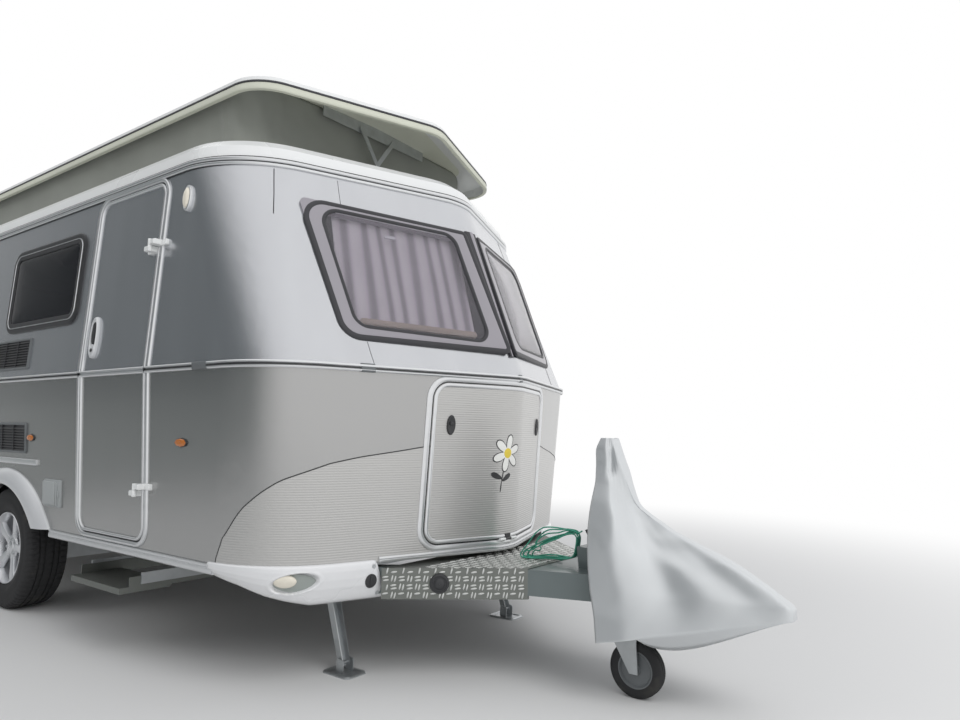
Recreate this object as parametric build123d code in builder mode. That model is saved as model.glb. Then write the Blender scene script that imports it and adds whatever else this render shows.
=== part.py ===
from build123d import *
import math
import os

os.makedirs("parts", exist_ok=True)

# A travel caravan with a lifting roof, parked on its wheels, jockey wheel and corner steadies.
# Frame: +X forward, +Y to the left side, +Z up, ground at z 0, origin below the middle of its box.
# All sizes are in millimetres.

# Body
body_front = 1925.5  # nose of the body at the waist rail
body_length = 4920.0
body_rear = body_front - body_length
body_middle = (body_front + body_rear) / 2
wall = 32.0  # sandwich wall, and so the door and the locker flap
floor_thickness = 36.0
panel_joint = 1060.0  # from the nose back to where the end panels meet the side walls

# Plan outlines of the body, each a long hexagon with a shallow V at both ends.
# Columns: height, half width, setback of the nose, angle of the V, corner radius, nose radius
sill_ring = (444.0, 1010.0, 48.0, 19.6, 400.0, 320.0)
waist_ring = (1170.0, 1050.0, 0.0, 19.4, 330.0, 220.0)
gutter_ring = (2012.0, 998.0, 337.0, 21.1, 430.0, 300.0)

# Fixed roof above the gutter, columns as above
shoulder_ring = (2088.0, 984.0, 366.0, 21.0, 420.0, 300.0)
deck_ring = (2125.0, 950.0, 425.0, 20.5, 390.0, 280.0)
roof_skin = 20.0
roof_opening_half_width = 780.0
roof_opening_setback = 985.0
roof_opening_corner = 100.0

# Lifting roof, drawn raised, columns as above
lid_rise = 250.0
lid_lip_ring = (2380.0, 850.0, 483.0, 19.9, 200.0, 200.0)
lid_edge_ring = (2440.0, 838.0, 500.0, 19.9, 195.0, 195.0)
lid_slope_ring = (2515.0, 710.0, 670.0, 19.9, 160.0, 180.0)
lid_top_ring = (2540.0, 480.0, 940.0, 19.9, 120.0, 150.0)
lid_rings = (lid_lip_ring, lid_edge_ring, lid_slope_ring, lid_top_ring)
lid_skin = 14.0

# Rails
rail_height = 26.0
rail_stand = 9.0

# Door, on the right side, hinged at its front edge
door_front = 1133.0  # setback of the front edge of its opening
door_rear = 1710.0
door_bottom = 470.0
door_top = 1985.0
door_corner = 70.0
door_gap = 5.0
door_hinge_setback = 1150.0
door_hinge_y = -1060.0
hinge_heights = (685.0, 1690.0)

# Front locker
locker_half_width = 405.0
locker_skin = 8.0
locker_bottom = sill_ring[0] + floor_thickness + locker_skin + 2.0
locker_top = 1140.0
locker_corner = 70.0
locker_gap = 5.0
locker_depth = 420.0

# Wheels and axle
axle_setback = 2505.0
tyre_radius = 305.0
tyre_width = 195.0
rim_radius = 190.0
wheel_track = 1840.0  # between the middles of the tyres
arch_half_width = 385.0
arch_top = 634.0
flare_half_width = 510.0
flare_top = 715.0
flare_stand = 44.0  # how far the lip of the flare stands out from the side

# Chassis
rail_y = 720.0
rail_depth = 100.0
rail_width = 50.0
rail_front_setback = 440.0
rail_rear_setback = body_length - 600.0
drawbar_tip_setback = -425.0
coupling_setback = -930.0

# Roof scissors
scissor_setback = 920.0
scissor_half_span = 117.0
scissor_foot_z = deck_ring[0] + 25.0
scissor_head_z = lid_top_ring[0] - 62.0
arm_width = 24.0
arm_thickness = 4.0

# Corner steadies
steady_setback = 560.0
steady_y = 553.0
steady_pivot_z = 385.0
steady_foot_reach = 119.0

# Jockey wheel
jockey_setback = -500.0
jockey_y = -64.0
jockey_trail = 60.0
jockey_radius = 100.0
jockey_width = 52.0
jockey_crank_reach = 50.0

# Cover over the coupling, resting on the jockey wheel's crank
cover_top = 925.0
cover_skin = 5.0
cover_rest = 0.3


def ring_at(height):
    """The body's outline at a height between the sill and the gutter."""
    low, high = (sill_ring, waist_ring) if height < waist_ring[0] else (waist_ring, gutter_ring)
    share = (height - low[0]) / (high[0] - low[0])
    return tuple(a + (b - a) * share for a, b in zip(low, high))


def ring_face(ring, inset=0.0, lower=0.0):
    height, half_width, setback, v_angle, corner, nose = ring
    slope = math.tan(math.radians(v_angle))
    push = setback + inset / math.cos(math.radians(v_angle))
    side = half_width - inset
    front = body_front - push
    rear = body_rear + push
    with BuildSketch(Plane.XY.offset(height - lower)) as face:
        with BuildLine():
            Polyline(
                (front, 0),
                (front - slope * side, side),
                (rear + slope * side, side),
                (rear, 0),
                (rear + slope * side, -side),
                (front - slope * side, -side),
                close=True,
            )
        make_face()
        fillet([v for v in face.vertices() if abs(v.Y) > 1], radius=corner - inset)
        fillet([v for v in face.vertices() if abs(v.Y) < 1], radius=nose - inset)
    return face.sketch


def loft_rings(rings, inset=0.0, lower=0.0):
    with BuildPart() as block:
        loft([ring_face(ring, inset, lower) for ring in rings], ruled=True)
    return block.part


def side_y(height):
    """Distance of the side wall's outer face from the middle plane at a height."""
    return ring_at(height)[1]


def nose_x(height, y=0.0):
    ring = ring_at(height)
    return body_front - ring[2] - math.tan(math.radians(ring[3])) * abs(y)


# Solid blocks that the walls are cut from
lower_block = loft_rings((sill_ring, waist_ring))
upper_block = loft_rings((waist_ring, gutter_ring))
lower_room = loft_rings((sill_ring, waist_ring), wall)
upper_room = loft_rings((waist_ring, gutter_ring), wall)
with BuildPart() as body_block:
    add(lower_block)
    add(upper_block)
with BuildPart() as body_room:
    add(lower_room)
    add(upper_room)

front_joint = body_front - panel_joint
rear_joint = body_rear + panel_joint

# Windows in the end walls: corners as (y, z) on the right half of the front, mirrored to the others
end_window_corners = ((-775.0, 1865.0), (-45.0, 1845.0), (-15.0, 1280.0), (-735.0, 1285.0))
end_window_outer_radius = 90.0
end_window_inner_radius = 25.0
end_window_rim = 45.0
window_stand = 8.0
frame_back = 6.0  # how far a frame's back stays inside the wall
pane_thickness = 4.0

# Side windows share what the wall between the door and the rear panel leaves beside these clearances
window_after_door = 120.0
window_between = 370.0
window_before_panel = 160.0
front_window_share = 0.54
side_window_bottom = 1425.0
side_window_top = 1860.0
window_room = body_length - panel_joint - door_rear - window_after_door - window_between - window_before_panel
front_window_start = door_rear + window_after_door
front_window_end = front_window_start + front_window_share * window_room
# Columns: setback of the front edge, setback of the rear edge, bottom, top
side_windows = (
    (front_window_start, front_window_end, side_window_bottom, side_window_top),
    (
        front_window_end + window_between,
        body_length - panel_joint - window_before_panel,
        side_window_bottom,
        side_window_top,
    ),
)
side_window_radius = 75.0
side_window_rim = 38.0


def facet_plane():
    """Plane on the right half of the upper front wall, its X towards the middle and its Z outward."""
    mid_y = -390.0
    low = Vector(nose_x(waist_ring[0], mid_y), mid_y, waist_ring[0])
    high = Vector(nose_x(gutter_ring[0] - 0.01, mid_y), mid_y, gutter_ring[0])
    middle = (low + high) * 0.5
    v_angle = math.radians((waist_ring[3] + gutter_ring[3]) / 2)
    along = Vector(math.sin(v_angle), math.cos(v_angle), 0)
    return Plane(origin=middle, x_dir=along, z_dir=along.cross(high - low))


front_plane = facet_plane()


def facet_point(y, z):
    """Where the line of a given y and z meets the facet, in the facet's own two directions."""
    normal = front_plane.z_dir
    x = front_plane.origin.X - (normal.Y * (y - front_plane.origin.Y) + normal.Z * (z - front_plane.origin.Z)) / normal.X
    local = front_plane.to_local_coords(Vector(x, y, z))
    return (local.X, local.Y)


def end_window_face(shrink=0.0):
    points = [facet_point(y, z) for y, z in end_window_corners]
    with BuildSketch(front_plane) as face:
        with BuildLine():
            Polyline(*points, close=True)
        make_face()
        corners = face.vertices().sort_by(Axis.Y)
        fillet(corners[:2], radius=end_window_outer_radius)
        corners = face.vertices().sort_by(Axis.Y)[-2:]
        fillet(corners, radius=end_window_inner_radius)
        if shrink:
            offset(amount=-shrink, mode=Mode.REPLACE)
    return face.sketch


def four_ends(solid):
    """A piece on the right front, with its like on the left and at both sides of the rear."""
    middle_plane = Plane.YZ.offset(body_middle)
    left = solid.mirror(Plane.XZ)
    return [solid, left, solid.mirror(middle_plane), left.mirror(middle_plane)]


def side_plane(height, setback):
    """Plane on the right side wall, its X forward, its Y up the wall and its Z outward."""
    lowest, highest = (sill_ring, waist_ring) if height < waist_ring[0] else (waist_ring, gutter_ring)
    low = Vector(0, -lowest[1], lowest[0])
    high = Vector(0, -highest[1], highest[0])
    return Plane(origin=(body_front - setback, -side_y(height), height), x_dir=(1, 0, 0), z_dir=Vector(1, 0, 0).cross(high - low))


with BuildPart() as end_window_plug:
    extrude(end_window_face(), amount=wall * 2, both=True)
end_plugs = four_ends(end_window_plug.part)

side_plugs = []
for front_edge, rear_edge, bottom, top in side_windows:
    plane = side_plane((bottom + top) / 2, (front_edge + rear_edge) / 2)
    with BuildPart() as plug:
        with BuildSketch(plane):
            RectangleRounded(rear_edge - front_edge, top - bottom, side_window_radius)
        extrude(amount=wall * 2, both=True)
    side_plugs += [plug.part, plug.part.mirror(Plane.XZ)]

# Walls
with BuildPart() as front_lower_wall:
    add(lower_block)
    add(lower_room, mode=Mode.SUBTRACT)
    split(bisect_by=Plane.YZ.offset(front_joint), keep=Keep.TOP)
    with BuildSketch(Plane.YZ.offset(front_joint)):
        with Locations((0, (locker_bottom + locker_top) / 2)):
            RectangleRounded(locker_half_width * 2, locker_top - locker_bottom, locker_corner)
    extrude(amount=panel_joint, mode=Mode.SUBTRACT)
front_lower_wall.part.label = "front_lower_wall"
export_step(front_lower_wall.part, "parts/front_lower_wall.step")

with BuildPart() as rear_lower_wall:
    add(lower_block)
    add(lower_room, mode=Mode.SUBTRACT)
    split(bisect_by=Plane.YZ.offset(rear_joint), keep=Keep.BOTTOM)
rear_lower_wall.part.label = "rear_lower_wall"
export_step(rear_lower_wall.part, "parts/rear_lower_wall.step")

with BuildPart() as front_upper_wall:
    add(upper_block)
    add(upper_room, mode=Mode.SUBTRACT)
    split(bisect_by=Plane.YZ.offset(front_joint), keep=Keep.TOP)
    add(end_plugs, mode=Mode.SUBTRACT)
front_upper_wall.part.label = "front_upper_wall"
export_step(front_upper_wall.part, "parts/front_upper_wall.step")

with BuildPart() as rear_upper_wall:
    add(upper_block)
    add(upper_room, mode=Mode.SUBTRACT)
    split(bisect_by=Plane.YZ.offset(rear_joint), keep=Keep.BOTTOM)
    add(end_plugs, mode=Mode.SUBTRACT)
rear_upper_wall.part.label = "rear_upper_wall"
export_step(rear_upper_wall.part, "parts/rear_upper_wall.step")


def arch_face(half_width, top, grow=0.0):
    """Segment of a circle through the sill line at both sides and the arch's top."""
    rise = top - sill_ring[0]
    radius = (half_width**2 + rise**2) / (2 * rise)
    with BuildSketch(Plane.XZ) as face:
        with Locations((body_front - axle_setback, top - radius)):
            Circle(radius + grow)
    return face.sketch


with BuildPart() as side_shell:
    add(body_block.part)
    add(body_room.part, mode=Mode.SUBTRACT)
    split(bisect_by=Plane.YZ.offset(front_joint), keep=Keep.BOTTOM)
    split(bisect_by=Plane.YZ.offset(rear_joint), keep=Keep.TOP)
    extrude(arch_face(arch_half_width, arch_top), amount=1200, both=True, mode=Mode.SUBTRACT)
    add(side_plugs, mode=Mode.SUBTRACT)


door_cut_from = 850.0
door_cut_depth = 260.0


def door_block(inset):
    with BuildPart() as block:
        with BuildSketch(Plane.XZ.offset(door_cut_from)):
            with Locations((body_front - (door_front + door_rear) / 2, (door_bottom + door_top) / 2)):
                RectangleRounded(
                    door_rear - door_front - 2 * inset, door_top - door_bottom - 2 * inset, door_corner - inset
                )
        extrude(amount=door_cut_depth)
    return block.part


with BuildPart() as right_wall:
    add(side_shell.part)
    split(bisect_by=Plane.XZ, keep=Keep.TOP)
    add(door_block(0), mode=Mode.SUBTRACT)
right_wall.part.label = "right_wall"
export_step(right_wall.part, "parts/right_wall.step")

with BuildPart() as left_wall:
    add(side_shell.part)
    split(bisect_by=Plane.XZ, keep=Keep.BOTTOM)
left_wall.part.label = "left_wall"
export_step(left_wall.part, "parts/left_wall.step")

# Window frames and panes
with BuildPart() as end_frame:
    extrude(end_window_face(), amount=wall / 2)
    add(extrude(end_window_face(), amount=frame_back - wall, mode=Mode.PRIVATE))
    extrude(end_window_face(end_window_rim), amount=wall * 2, both=True, mode=Mode.SUBTRACT)
    split(bisect_by=front_plane.offset(window_stand), keep=Keep.BOTTOM)

side_frames = []
side_panes = []
for front_edge, rear_edge, bottom, top in side_windows:
    plane = side_plane((bottom + top) / 2, (front_edge + rear_edge) / 2)
    width = rear_edge - front_edge
    height = top - bottom
    with BuildPart() as frame:
        with BuildSketch(plane.offset(-wall)):
            RectangleRounded(width, height, side_window_radius)
            RectangleRounded(
                width - 2 * side_window_rim,
                height - 2 * side_window_rim,
                side_window_radius - side_window_rim,
                mode=Mode.SUBTRACT,
            )
        extrude(amount=wall + window_stand)
    with BuildPart() as pane:
        with BuildSketch(plane.offset(window_stand - 2 * pane_thickness)):
            RectangleRounded(
                width - 2 * side_window_rim, height - 2 * side_window_rim, side_window_radius - side_window_rim
            )
        extrude(amount=pane_thickness)
    side_frames += [frame.part, frame.part.mirror(Plane.XZ)]
    side_panes += [pane.part, pane.part.mirror(Plane.XZ)]

with BuildPart() as window_frames:
    add(four_ends(end_frame.part))
    add(side_frames)
window_frames.part.label = "window_frames"
export_step(window_frames.part, "parts/window_frames.step")

with BuildPart() as end_pane:
    extrude(end_window_face(end_window_rim), amount=window_stand - pane_thickness)
    split(bisect_by=front_plane, keep=Keep.TOP)
with BuildPart() as window_panes:
    add(four_ends(end_pane.part))
    add(side_panes)
window_panes.part.label = "window_panes"
export_step(window_panes.part, "parts/window_panes.step")

# Fixed roof
with BuildPart() as roof:
    add(loft_rings((gutter_ring, shoulder_ring, deck_ring)))
    add(loft_rings((gutter_ring, shoulder_ring, deck_ring), roof_skin, roof_skin), mode=Mode.SUBTRACT)
    with BuildSketch(Plane.XY.offset(gutter_ring[0] - 50)):
        with Locations((body_middle, 0)):
            RectangleRounded(
                body_length - 2 * roof_opening_setback, roof_opening_half_width * 2, roof_opening_corner
            )
    extrude(amount=300, mode=Mode.SUBTRACT)
    split(bisect_by=Plane.XY.offset(gutter_ring[0]), keep=Keep.TOP)
roof.part.label = "roof"
export_step(roof.part, "parts/roof.step")

# Floor, cut for the wheel boxes
wheel_box_depth = 245.0
wheel_box_skin = 5.0
with BuildPart() as floor:
    add(loft_rings((sill_ring, ring_at(sill_ring[0] + floor_thickness)), wall))
    for side in (-1, 1):
        with Locations((body_front - axle_setback, side * (sill_ring[1] - wheel_box_depth / 2), sill_ring[0])):
            Box(arch_half_width * 2, wheel_box_depth, 200, mode=Mode.SUBTRACT)
floor.part.label = "floor"
export_step(floor.part, "parts/floor.step")

# Waist rail and gutter rail
def rail_band(height, size, stand):
    ring = ring_at(height)
    with BuildPart() as band:
        extrude(ring_face((height - size / 2,) + ring[1:], -stand), amount=size)
        add(body_block.part, mode=Mode.SUBTRACT)
    return band.part


waist_band = rail_band(waist_ring[0], rail_height, rail_stand)
with BuildPart() as waist_rail:
    add(waist_band)
    add(door_block(0), mode=Mode.SUBTRACT)
waist_rail.part.label = "waist_rail"
export_step(waist_rail.part, "parts/waist_rail.step")

with BuildPart() as gutter_rail:
    extrude(ring_face(gutter_ring, -rail_stand, rail_height / 2), amount=rail_height)
    add(upper_block, mode=Mode.SUBTRACT)
    add(loft_rings((gutter_ring, shoulder_ring)), mode=Mode.SUBTRACT)
gutter_rail.part.label = "gutter_rail"
export_step(gutter_rail.part, "parts/gutter_rail.step")

# Door: the wall that its opening leaves, with its own stretch of waist rail
with BuildPart() as door:
    add(body_block.part)
    add(body_room.part, mode=Mode.SUBTRACT)
    add(door_block(door_gap), mode=Mode.INTERSECT)
door.part.label = "door"
export_step(door.part, "parts/door.step")

with BuildPart() as door_rail:
    add(waist_band)
    add(door_block(door_gap), mode=Mode.INTERSECT)

# Oval door handle, seated on the door below its rear edge
handle_setback = 1612.0
handle_bottom = 1239.0
handle_top = 1429.0
handle_width = 62.0
handle_stand = 22.0
with BuildPart() as door_handle:
    with BuildSketch(side_plane((handle_bottom + handle_top) / 2, handle_setback)):
        SlotOverall(handle_top - handle_bottom, handle_width, rotation=90)
    extrude(amount=handle_stand)
    with BuildSketch(side_plane((handle_bottom + handle_top) / 2, handle_setback).offset(8)):
        SlotOverall(handle_top - handle_bottom - 50, handle_width - 24, rotation=90)
    extrude(amount=handle_stand, mode=Mode.SUBTRACT)
door_handle.part.label = "door_handle"
export_step(door_handle.part, "parts/door_handle.step")

# Door hinges: a knuckle on the wall and a leaf with its own knuckle on the door, on one pin line
hinge_x = body_front - door_hinge_setback
knuckle_radius = 8.0
knuckle_height = 26.0
leaf_thickness = 6.0
leaf_reach = 70.0
with BuildPart() as wall_hinges:
    for height in hinge_heights:
        with Locations((hinge_x, door_hinge_y, height + knuckle_height / 2 + 0.3)):
            Cylinder(knuckle_radius, knuckle_height)
        with Locations((hinge_x + leaf_reach / 2, door_hinge_y, height + knuckle_height / 2 + 0.3)):
            Box(leaf_reach, leaf_thickness, knuckle_height)
        with Locations((hinge_x + 45, door_hinge_y + 30, height + knuckle_height / 2 + 0.3)):
            Box(50, 60, knuckle_height)
    add(body_block.part, mode=Mode.SUBTRACT)

with BuildPart() as door_hinges:
    for height in hinge_heights:
        with Locations((hinge_x, door_hinge_y, height - knuckle_height / 2 - 0.3)):
            Cylinder(knuckle_radius, knuckle_height)
        with Locations((hinge_x - leaf_reach / 2, door_hinge_y, height - knuckle_height / 2 - 0.3)):
            Box(leaf_reach, leaf_thickness, knuckle_height)
        with Locations((hinge_x - 45, door_hinge_y + 30, height - knuckle_height / 2 - 0.3)):
            Box(50, 60, knuckle_height)
    add(body_block.part, mode=Mode.SUBTRACT)
with BuildPart() as door_fittings:
    add(door_rail.part)
    add(door_hinges.part)
door_fittings.part.label = "door_fittings"
export_step(door_fittings.part, "parts/door_fittings.step")

# Locker flap: the front wall that its opening leaves, tipping forward about its lower edge
with BuildPart() as locker_flap:
    add(lower_block)
    add(lower_room, mode=Mode.SUBTRACT)
    with BuildSketch(Plane.YZ.offset(front_joint)):
        with Locations((0, (locker_bottom + locker_top) / 2)):
            RectangleRounded(
                (locker_half_width - locker_gap) * 2,
                locker_top - locker_bottom - 2 * locker_gap,
                locker_corner - locker_gap,
            )
    extrude(amount=panel_joint, mode=Mode.INTERSECT)
locker_flap.part.label = "locker_flap"
export_step(locker_flap.part, "parts/locker_flap.step")

# Locker hinge at the nose: two knuckles on the wall and one on the flap between them
locker_hinge_z = locker_bottom + 1.0
locker_hinge_radius = 6.0
locker_knuckle = 40.0
locker_leaf = 20.0
hinge_ring = ring_at(locker_hinge_z)
nose_round = hinge_ring[5] * (1 / math.cos(math.radians(hinge_ring[3])) - 1)
locker_hinge_x = body_front - hinge_ring[2] - nose_round + locker_hinge_radius + 1
with BuildPart() as locker_wall_hinge:
    for side in (-1, 1):
        with Locations((locker_hinge_x, side * locker_knuckle, locker_hinge_z)):
            Cylinder(locker_hinge_radius, locker_knuckle - 0.6, rotation=(90, 0, 0))
        with Locations((locker_hinge_x - locker_leaf / 2, side * locker_knuckle, locker_hinge_z - locker_leaf / 2)):
            Box(locker_leaf, locker_knuckle - 0.6, locker_leaf)
    add(lower_block, mode=Mode.SUBTRACT)

lock_y = 330.0
lock_z = 966.0
with BuildPart() as locker_fittings:
    with Locations((locker_hinge_x, 0, locker_hinge_z)):
        Cylinder(locker_hinge_radius, locker_knuckle, rotation=(90, 0, 0))
    with Locations((locker_hinge_x - locker_leaf / 2, 0, locker_hinge_z + locker_leaf / 2)):
        Box(locker_leaf, locker_knuckle, locker_leaf)
    for side in (-1, 1):
        with Locations(Plane(
            origin=(nose_x(lock_z, lock_y), side * lock_y, lock_z),
            x_dir=(0, 0, 1),
            z_dir=(1, side * math.tan(math.radians(waist_ring[3])), 0),
        )):
            Cylinder(18, 30)
    add(lower_block, mode=Mode.SUBTRACT)
locker_fittings.part.label = "locker_fittings"
export_step(locker_fittings.part, "parts/locker_fittings.step")

with BuildPart() as body_hinges:
    add(wall_hinges.part)
    add(locker_wall_hinge.part)
body_hinges.part.label = "body_hinges"
export_step(body_hinges.part, "parts/body_hinges.step")

# Box behind the flap, open to the front
locker_side_room = 20.0
locker_low = sill_ring[0] + floor_thickness
locker_high = locker_top + 2.0 + locker_skin
with BuildPart() as locker_box:
    add(lower_room)
    with BuildSketch(Plane.YZ.offset(body_front - locker_depth)):
        with Locations((0, (locker_low + locker_high) / 2)):
            Rectangle(2 * (locker_half_width + locker_side_room + locker_skin), locker_high - locker_low)
    extrude(amount=locker_depth, mode=Mode.INTERSECT)
    with BuildSketch(Plane.YZ.offset(body_front - locker_depth + locker_skin)):
        with Locations((0, (locker_low + locker_high) / 2)):
            Rectangle(2 * (locker_half_width + locker_side_room), locker_high - locker_low - 2 * locker_skin)
    extrude(amount=locker_depth, mode=Mode.SUBTRACT)
locker_box.part.label = "locker_box"
export_step(locker_box.part, "parts/locker_box.step")

# Wheel boxes inside, arch flares outside
with BuildPart() as wheel_boxes:
    with BuildSketch(Plane.XZ.offset(sill_ring[1] - wheel_box_depth)):
        with Locations((body_front - axle_setback, sill_ring[0] + 110)):
            Rectangle(arch_half_width * 2, 220)
    extrude(amount=wheel_box_depth - wall - 6)
    with BuildSketch(Plane.XZ.offset(sill_ring[1] - wheel_box_depth + wheel_box_skin)):
        with Locations((body_front - axle_setback, sill_ring[0] + 110 - wheel_box_skin)):
            Rectangle(arch_half_width * 2 - 2 * wheel_box_skin, 220)
    extrude(amount=wheel_box_depth, mode=Mode.SUBTRACT)
    mirror(about=Plane.XZ)
wheel_boxes.part.label = "wheel_boxes"
export_step(wheel_boxes.part, "parts/wheel_boxes.step")

with BuildPart() as arch_flares:
    extrude(arch_face(flare_half_width, flare_top), amount=side_y(flare_top) + flare_stand)
    extrude(arch_face(arch_half_width, arch_top), amount=1200, mode=Mode.SUBTRACT)
    add(lower_block, mode=Mode.SUBTRACT)
    split(bisect_by=Plane.XY.offset(sill_ring[0]), keep=Keep.TOP)
    split(bisect_by=Plane.XZ.offset(sill_ring[1] + 5), keep=Keep.TOP)
    mirror(about=Plane.XZ)
arch_flares.part.label = "arch_flares"
export_step(arch_flares.part, "parts/arch_flares.step")

# Sill rails under the side walls, between the bumpers and the arch flares
sill_height = 34.0
sill_width = 26.0
front_bumper_end = 660.0
rear_bumper_reach = 700.0
sill_spans = (
    (front_bumper_end, axle_setback - flare_half_width - 1),
    (axle_setback + flare_half_width + 1, body_length - rear_bumper_reach),
)
with BuildPart() as sill_rails:
    for ahead, behind in sill_spans:
        with Locations((body_front - (ahead + behind) / 2, -(sill_ring[1] - sill_width / 2 + 8), sill_ring[0] - sill_height / 2)):
            Box(behind - ahead, sill_width, sill_height)
    mirror(about=Plane.XZ)
sill_rails.part.label = "sill_rails"
export_step(sill_rails.part, "parts/sill_rails.step")

# Moulded bumper corners at the front and the bumper across the rear
bumper_bottom = 310.0
bumper_skin = 6.0
bumper_tuck = 14.0  # how far its lower edge lies inside the body's outline
bumper_proud = 6.0  # how far its upper edge stands outside it
bumper_end_y = 592.0
bumper_low_ring = (bumper_bottom,) + sill_ring[1:]
with BuildPart() as bumper_ring:
    loft([ring_face(bumper_low_ring, bumper_tuck), ring_face(sill_ring, -bumper_proud)], ruled=True)
    loft(
        [ring_face(bumper_low_ring, bumper_tuck + bumper_skin), ring_face(sill_ring, bumper_skin - bumper_proud)],
        ruled=True,
        mode=Mode.SUBTRACT,
    )

with BuildPart() as front_bumper_corners:
    add(bumper_ring.part)
    split(bisect_by=Plane.YZ.offset(body_front - front_bumper_end), keep=Keep.TOP)
    split(bisect_by=Plane.XZ.offset(bumper_end_y), keep=Keep.TOP)
    with BuildSketch(Plane.XZ):
        with BuildLine():
            Polyline(
                (body_front - front_bumper_end - 1, 200),
                (body_front - front_bumper_end + 170, 200),
                (body_front - front_bumper_end + 170, bumper_bottom),
                (body_front - front_bumper_end - 1, sill_ring[0] - sill_height),
                close=True,
            )
        make_face()
    extrude(amount=1300, mode=Mode.SUBTRACT)
    mirror(about=Plane.XZ)
with BuildPart() as rear_bumper:
    add(bumper_ring.part)
    split(bisect_by=Plane.YZ.offset(body_rear + rear_bumper_reach), keep=Keep.BOTTOM)
with BuildPart() as bumpers:
    add(front_bumper_corners.part)
    add(rear_bumper.part)
bumpers.part.label = "bumpers"
export_step(bumpers.part, "parts/bumpers.step")

steady_leg_width = 44.0
steady_pin_radius = 7.0
steady_ear_y = 30.0  # from the leg's middle to the middle of each ear of its bracket
steady_places = (
    ("front_right", body_front - steady_setback, -1, 1),
    ("front_left", body_front - steady_setback, 1, 1),
    ("rear_right", body_rear + steady_setback, -1, -1),
    ("rear_left", body_rear + steady_setback, 1, -1),
)

# Step below the door
step_setback = 1415.0
step_length = 420.0
step_depth = 220.0
step_edge_y = 1066.0
step_top = 292.0
step_thickness = 24.0
step_arm = 6.0
step_arm_length = 400.0
runner_gap = 0.3
runner_skin = 6.0
runner_height = 46.0
runner_length = 400.0

# Chassis under the floor: two long rails, the cross members between them, the steadies' brackets
# and the runners of the step
rail_top = sill_ring[0]
rail_bottom = rail_top - rail_depth
cross_width = 50.0
cross_members = (  # setbacks
    rail_front_setback + 25.0,
    rail_front_setback + 810.0,
    rail_rear_setback - 1120.0,
    rail_rear_setback - 55.0,
)
bracket_skin = 6.0
bracket_length = 140.0
bracket_width = 110.0
bracket_drop = 79.0
with BuildPart() as chassis:
    with Locations((body_front - (rail_front_setback + rail_rear_setback) / 2, 0, rail_top - rail_depth / 2)):
        with Locations((0, -rail_y), (0, rail_y)):
            Box(rail_rear_setback - rail_front_setback, rail_width, rail_depth)
    for setback in cross_members:
        with Locations((body_front - setback, 0, rail_top - 30)):
            Box(cross_width, rail_y * 2, 60)
    for name, x, side, out in steady_places:
        with Locations((x, side * steady_y, rail_top - bracket_skin / 2)):
            Box(bracket_length, bracket_width, bracket_skin)
        with Locations((x, side * steady_y, rail_top - bracket_drop / 2)):
            with Locations((0, -steady_ear_y, 0), (0, steady_ear_y, 0)):
                Box(50, bracket_skin, bracket_drop)
        with Locations((x, side * steady_y, steady_pivot_z)):
            Cylinder(steady_pin_radius, 2 * steady_ear_y, rotation=(90, 0, 0))
    for end in (-1, 1):
        runner_x = body_front - step_setback + end * (step_length / 2 + runner_gap + runner_skin / 2)
        with Locations((runner_x, -rail_y - 60, rail_bottom - runner_height / 2)):
            Box(runner_skin, runner_length, runner_height)
        with Locations((runner_x + end * 12, -rail_y, rail_bottom - 3)):
            Box(30, rail_width, 6)
chassis.part.label = "chassis"
export_step(chassis.part, "parts/chassis.step")

# Drawbar: two members that meet at a plate under the overrun device
drawbar_slope = 420.0 / 355.0  # run forward for each millimetre inward
drawbar_half_tip = 50.0
drawbar_width = 60.0
drawbar_depth = 96.0
tip_plate = 74.0  # straight end ahead of the two members
tray_top = 427.0
tray_skin = 3.0
drawbar_top = tray_top - tray_skin
tip_x = body_front - drawbar_tip_setback
member_rear_x = body_front - rail_front_setback
member_rear_y = drawbar_half_tip + (tip_x - tip_plate - member_rear_x) / drawbar_slope
member_across = drawbar_width * math.hypot(1, 1 / drawbar_slope)
# Folded head over the members' front end, and the raised block that the handbrake stands on
head_depth = 96.0
head_skin = 5.0
head_rear_half = 225.0
head_front_half = 148.0
head_rear_x = body_front + 190.0
block_half = 70.0
block_rear_x = body_front + 322.0
block_lean = 9.0
block_top = 505.0


def head_face(inset):
    with BuildSketch(Plane.XY.offset(drawbar_top)) as face:
        with BuildLine():
            Polyline(
                (head_rear_x + inset, head_rear_half - inset),
                (tip_x - inset, head_front_half - inset),
                (tip_x - inset, inset - head_front_half),
                (head_rear_x + inset, inset - head_rear_half),
                close=True,
            )
        make_face()
    return face.sketch


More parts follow.
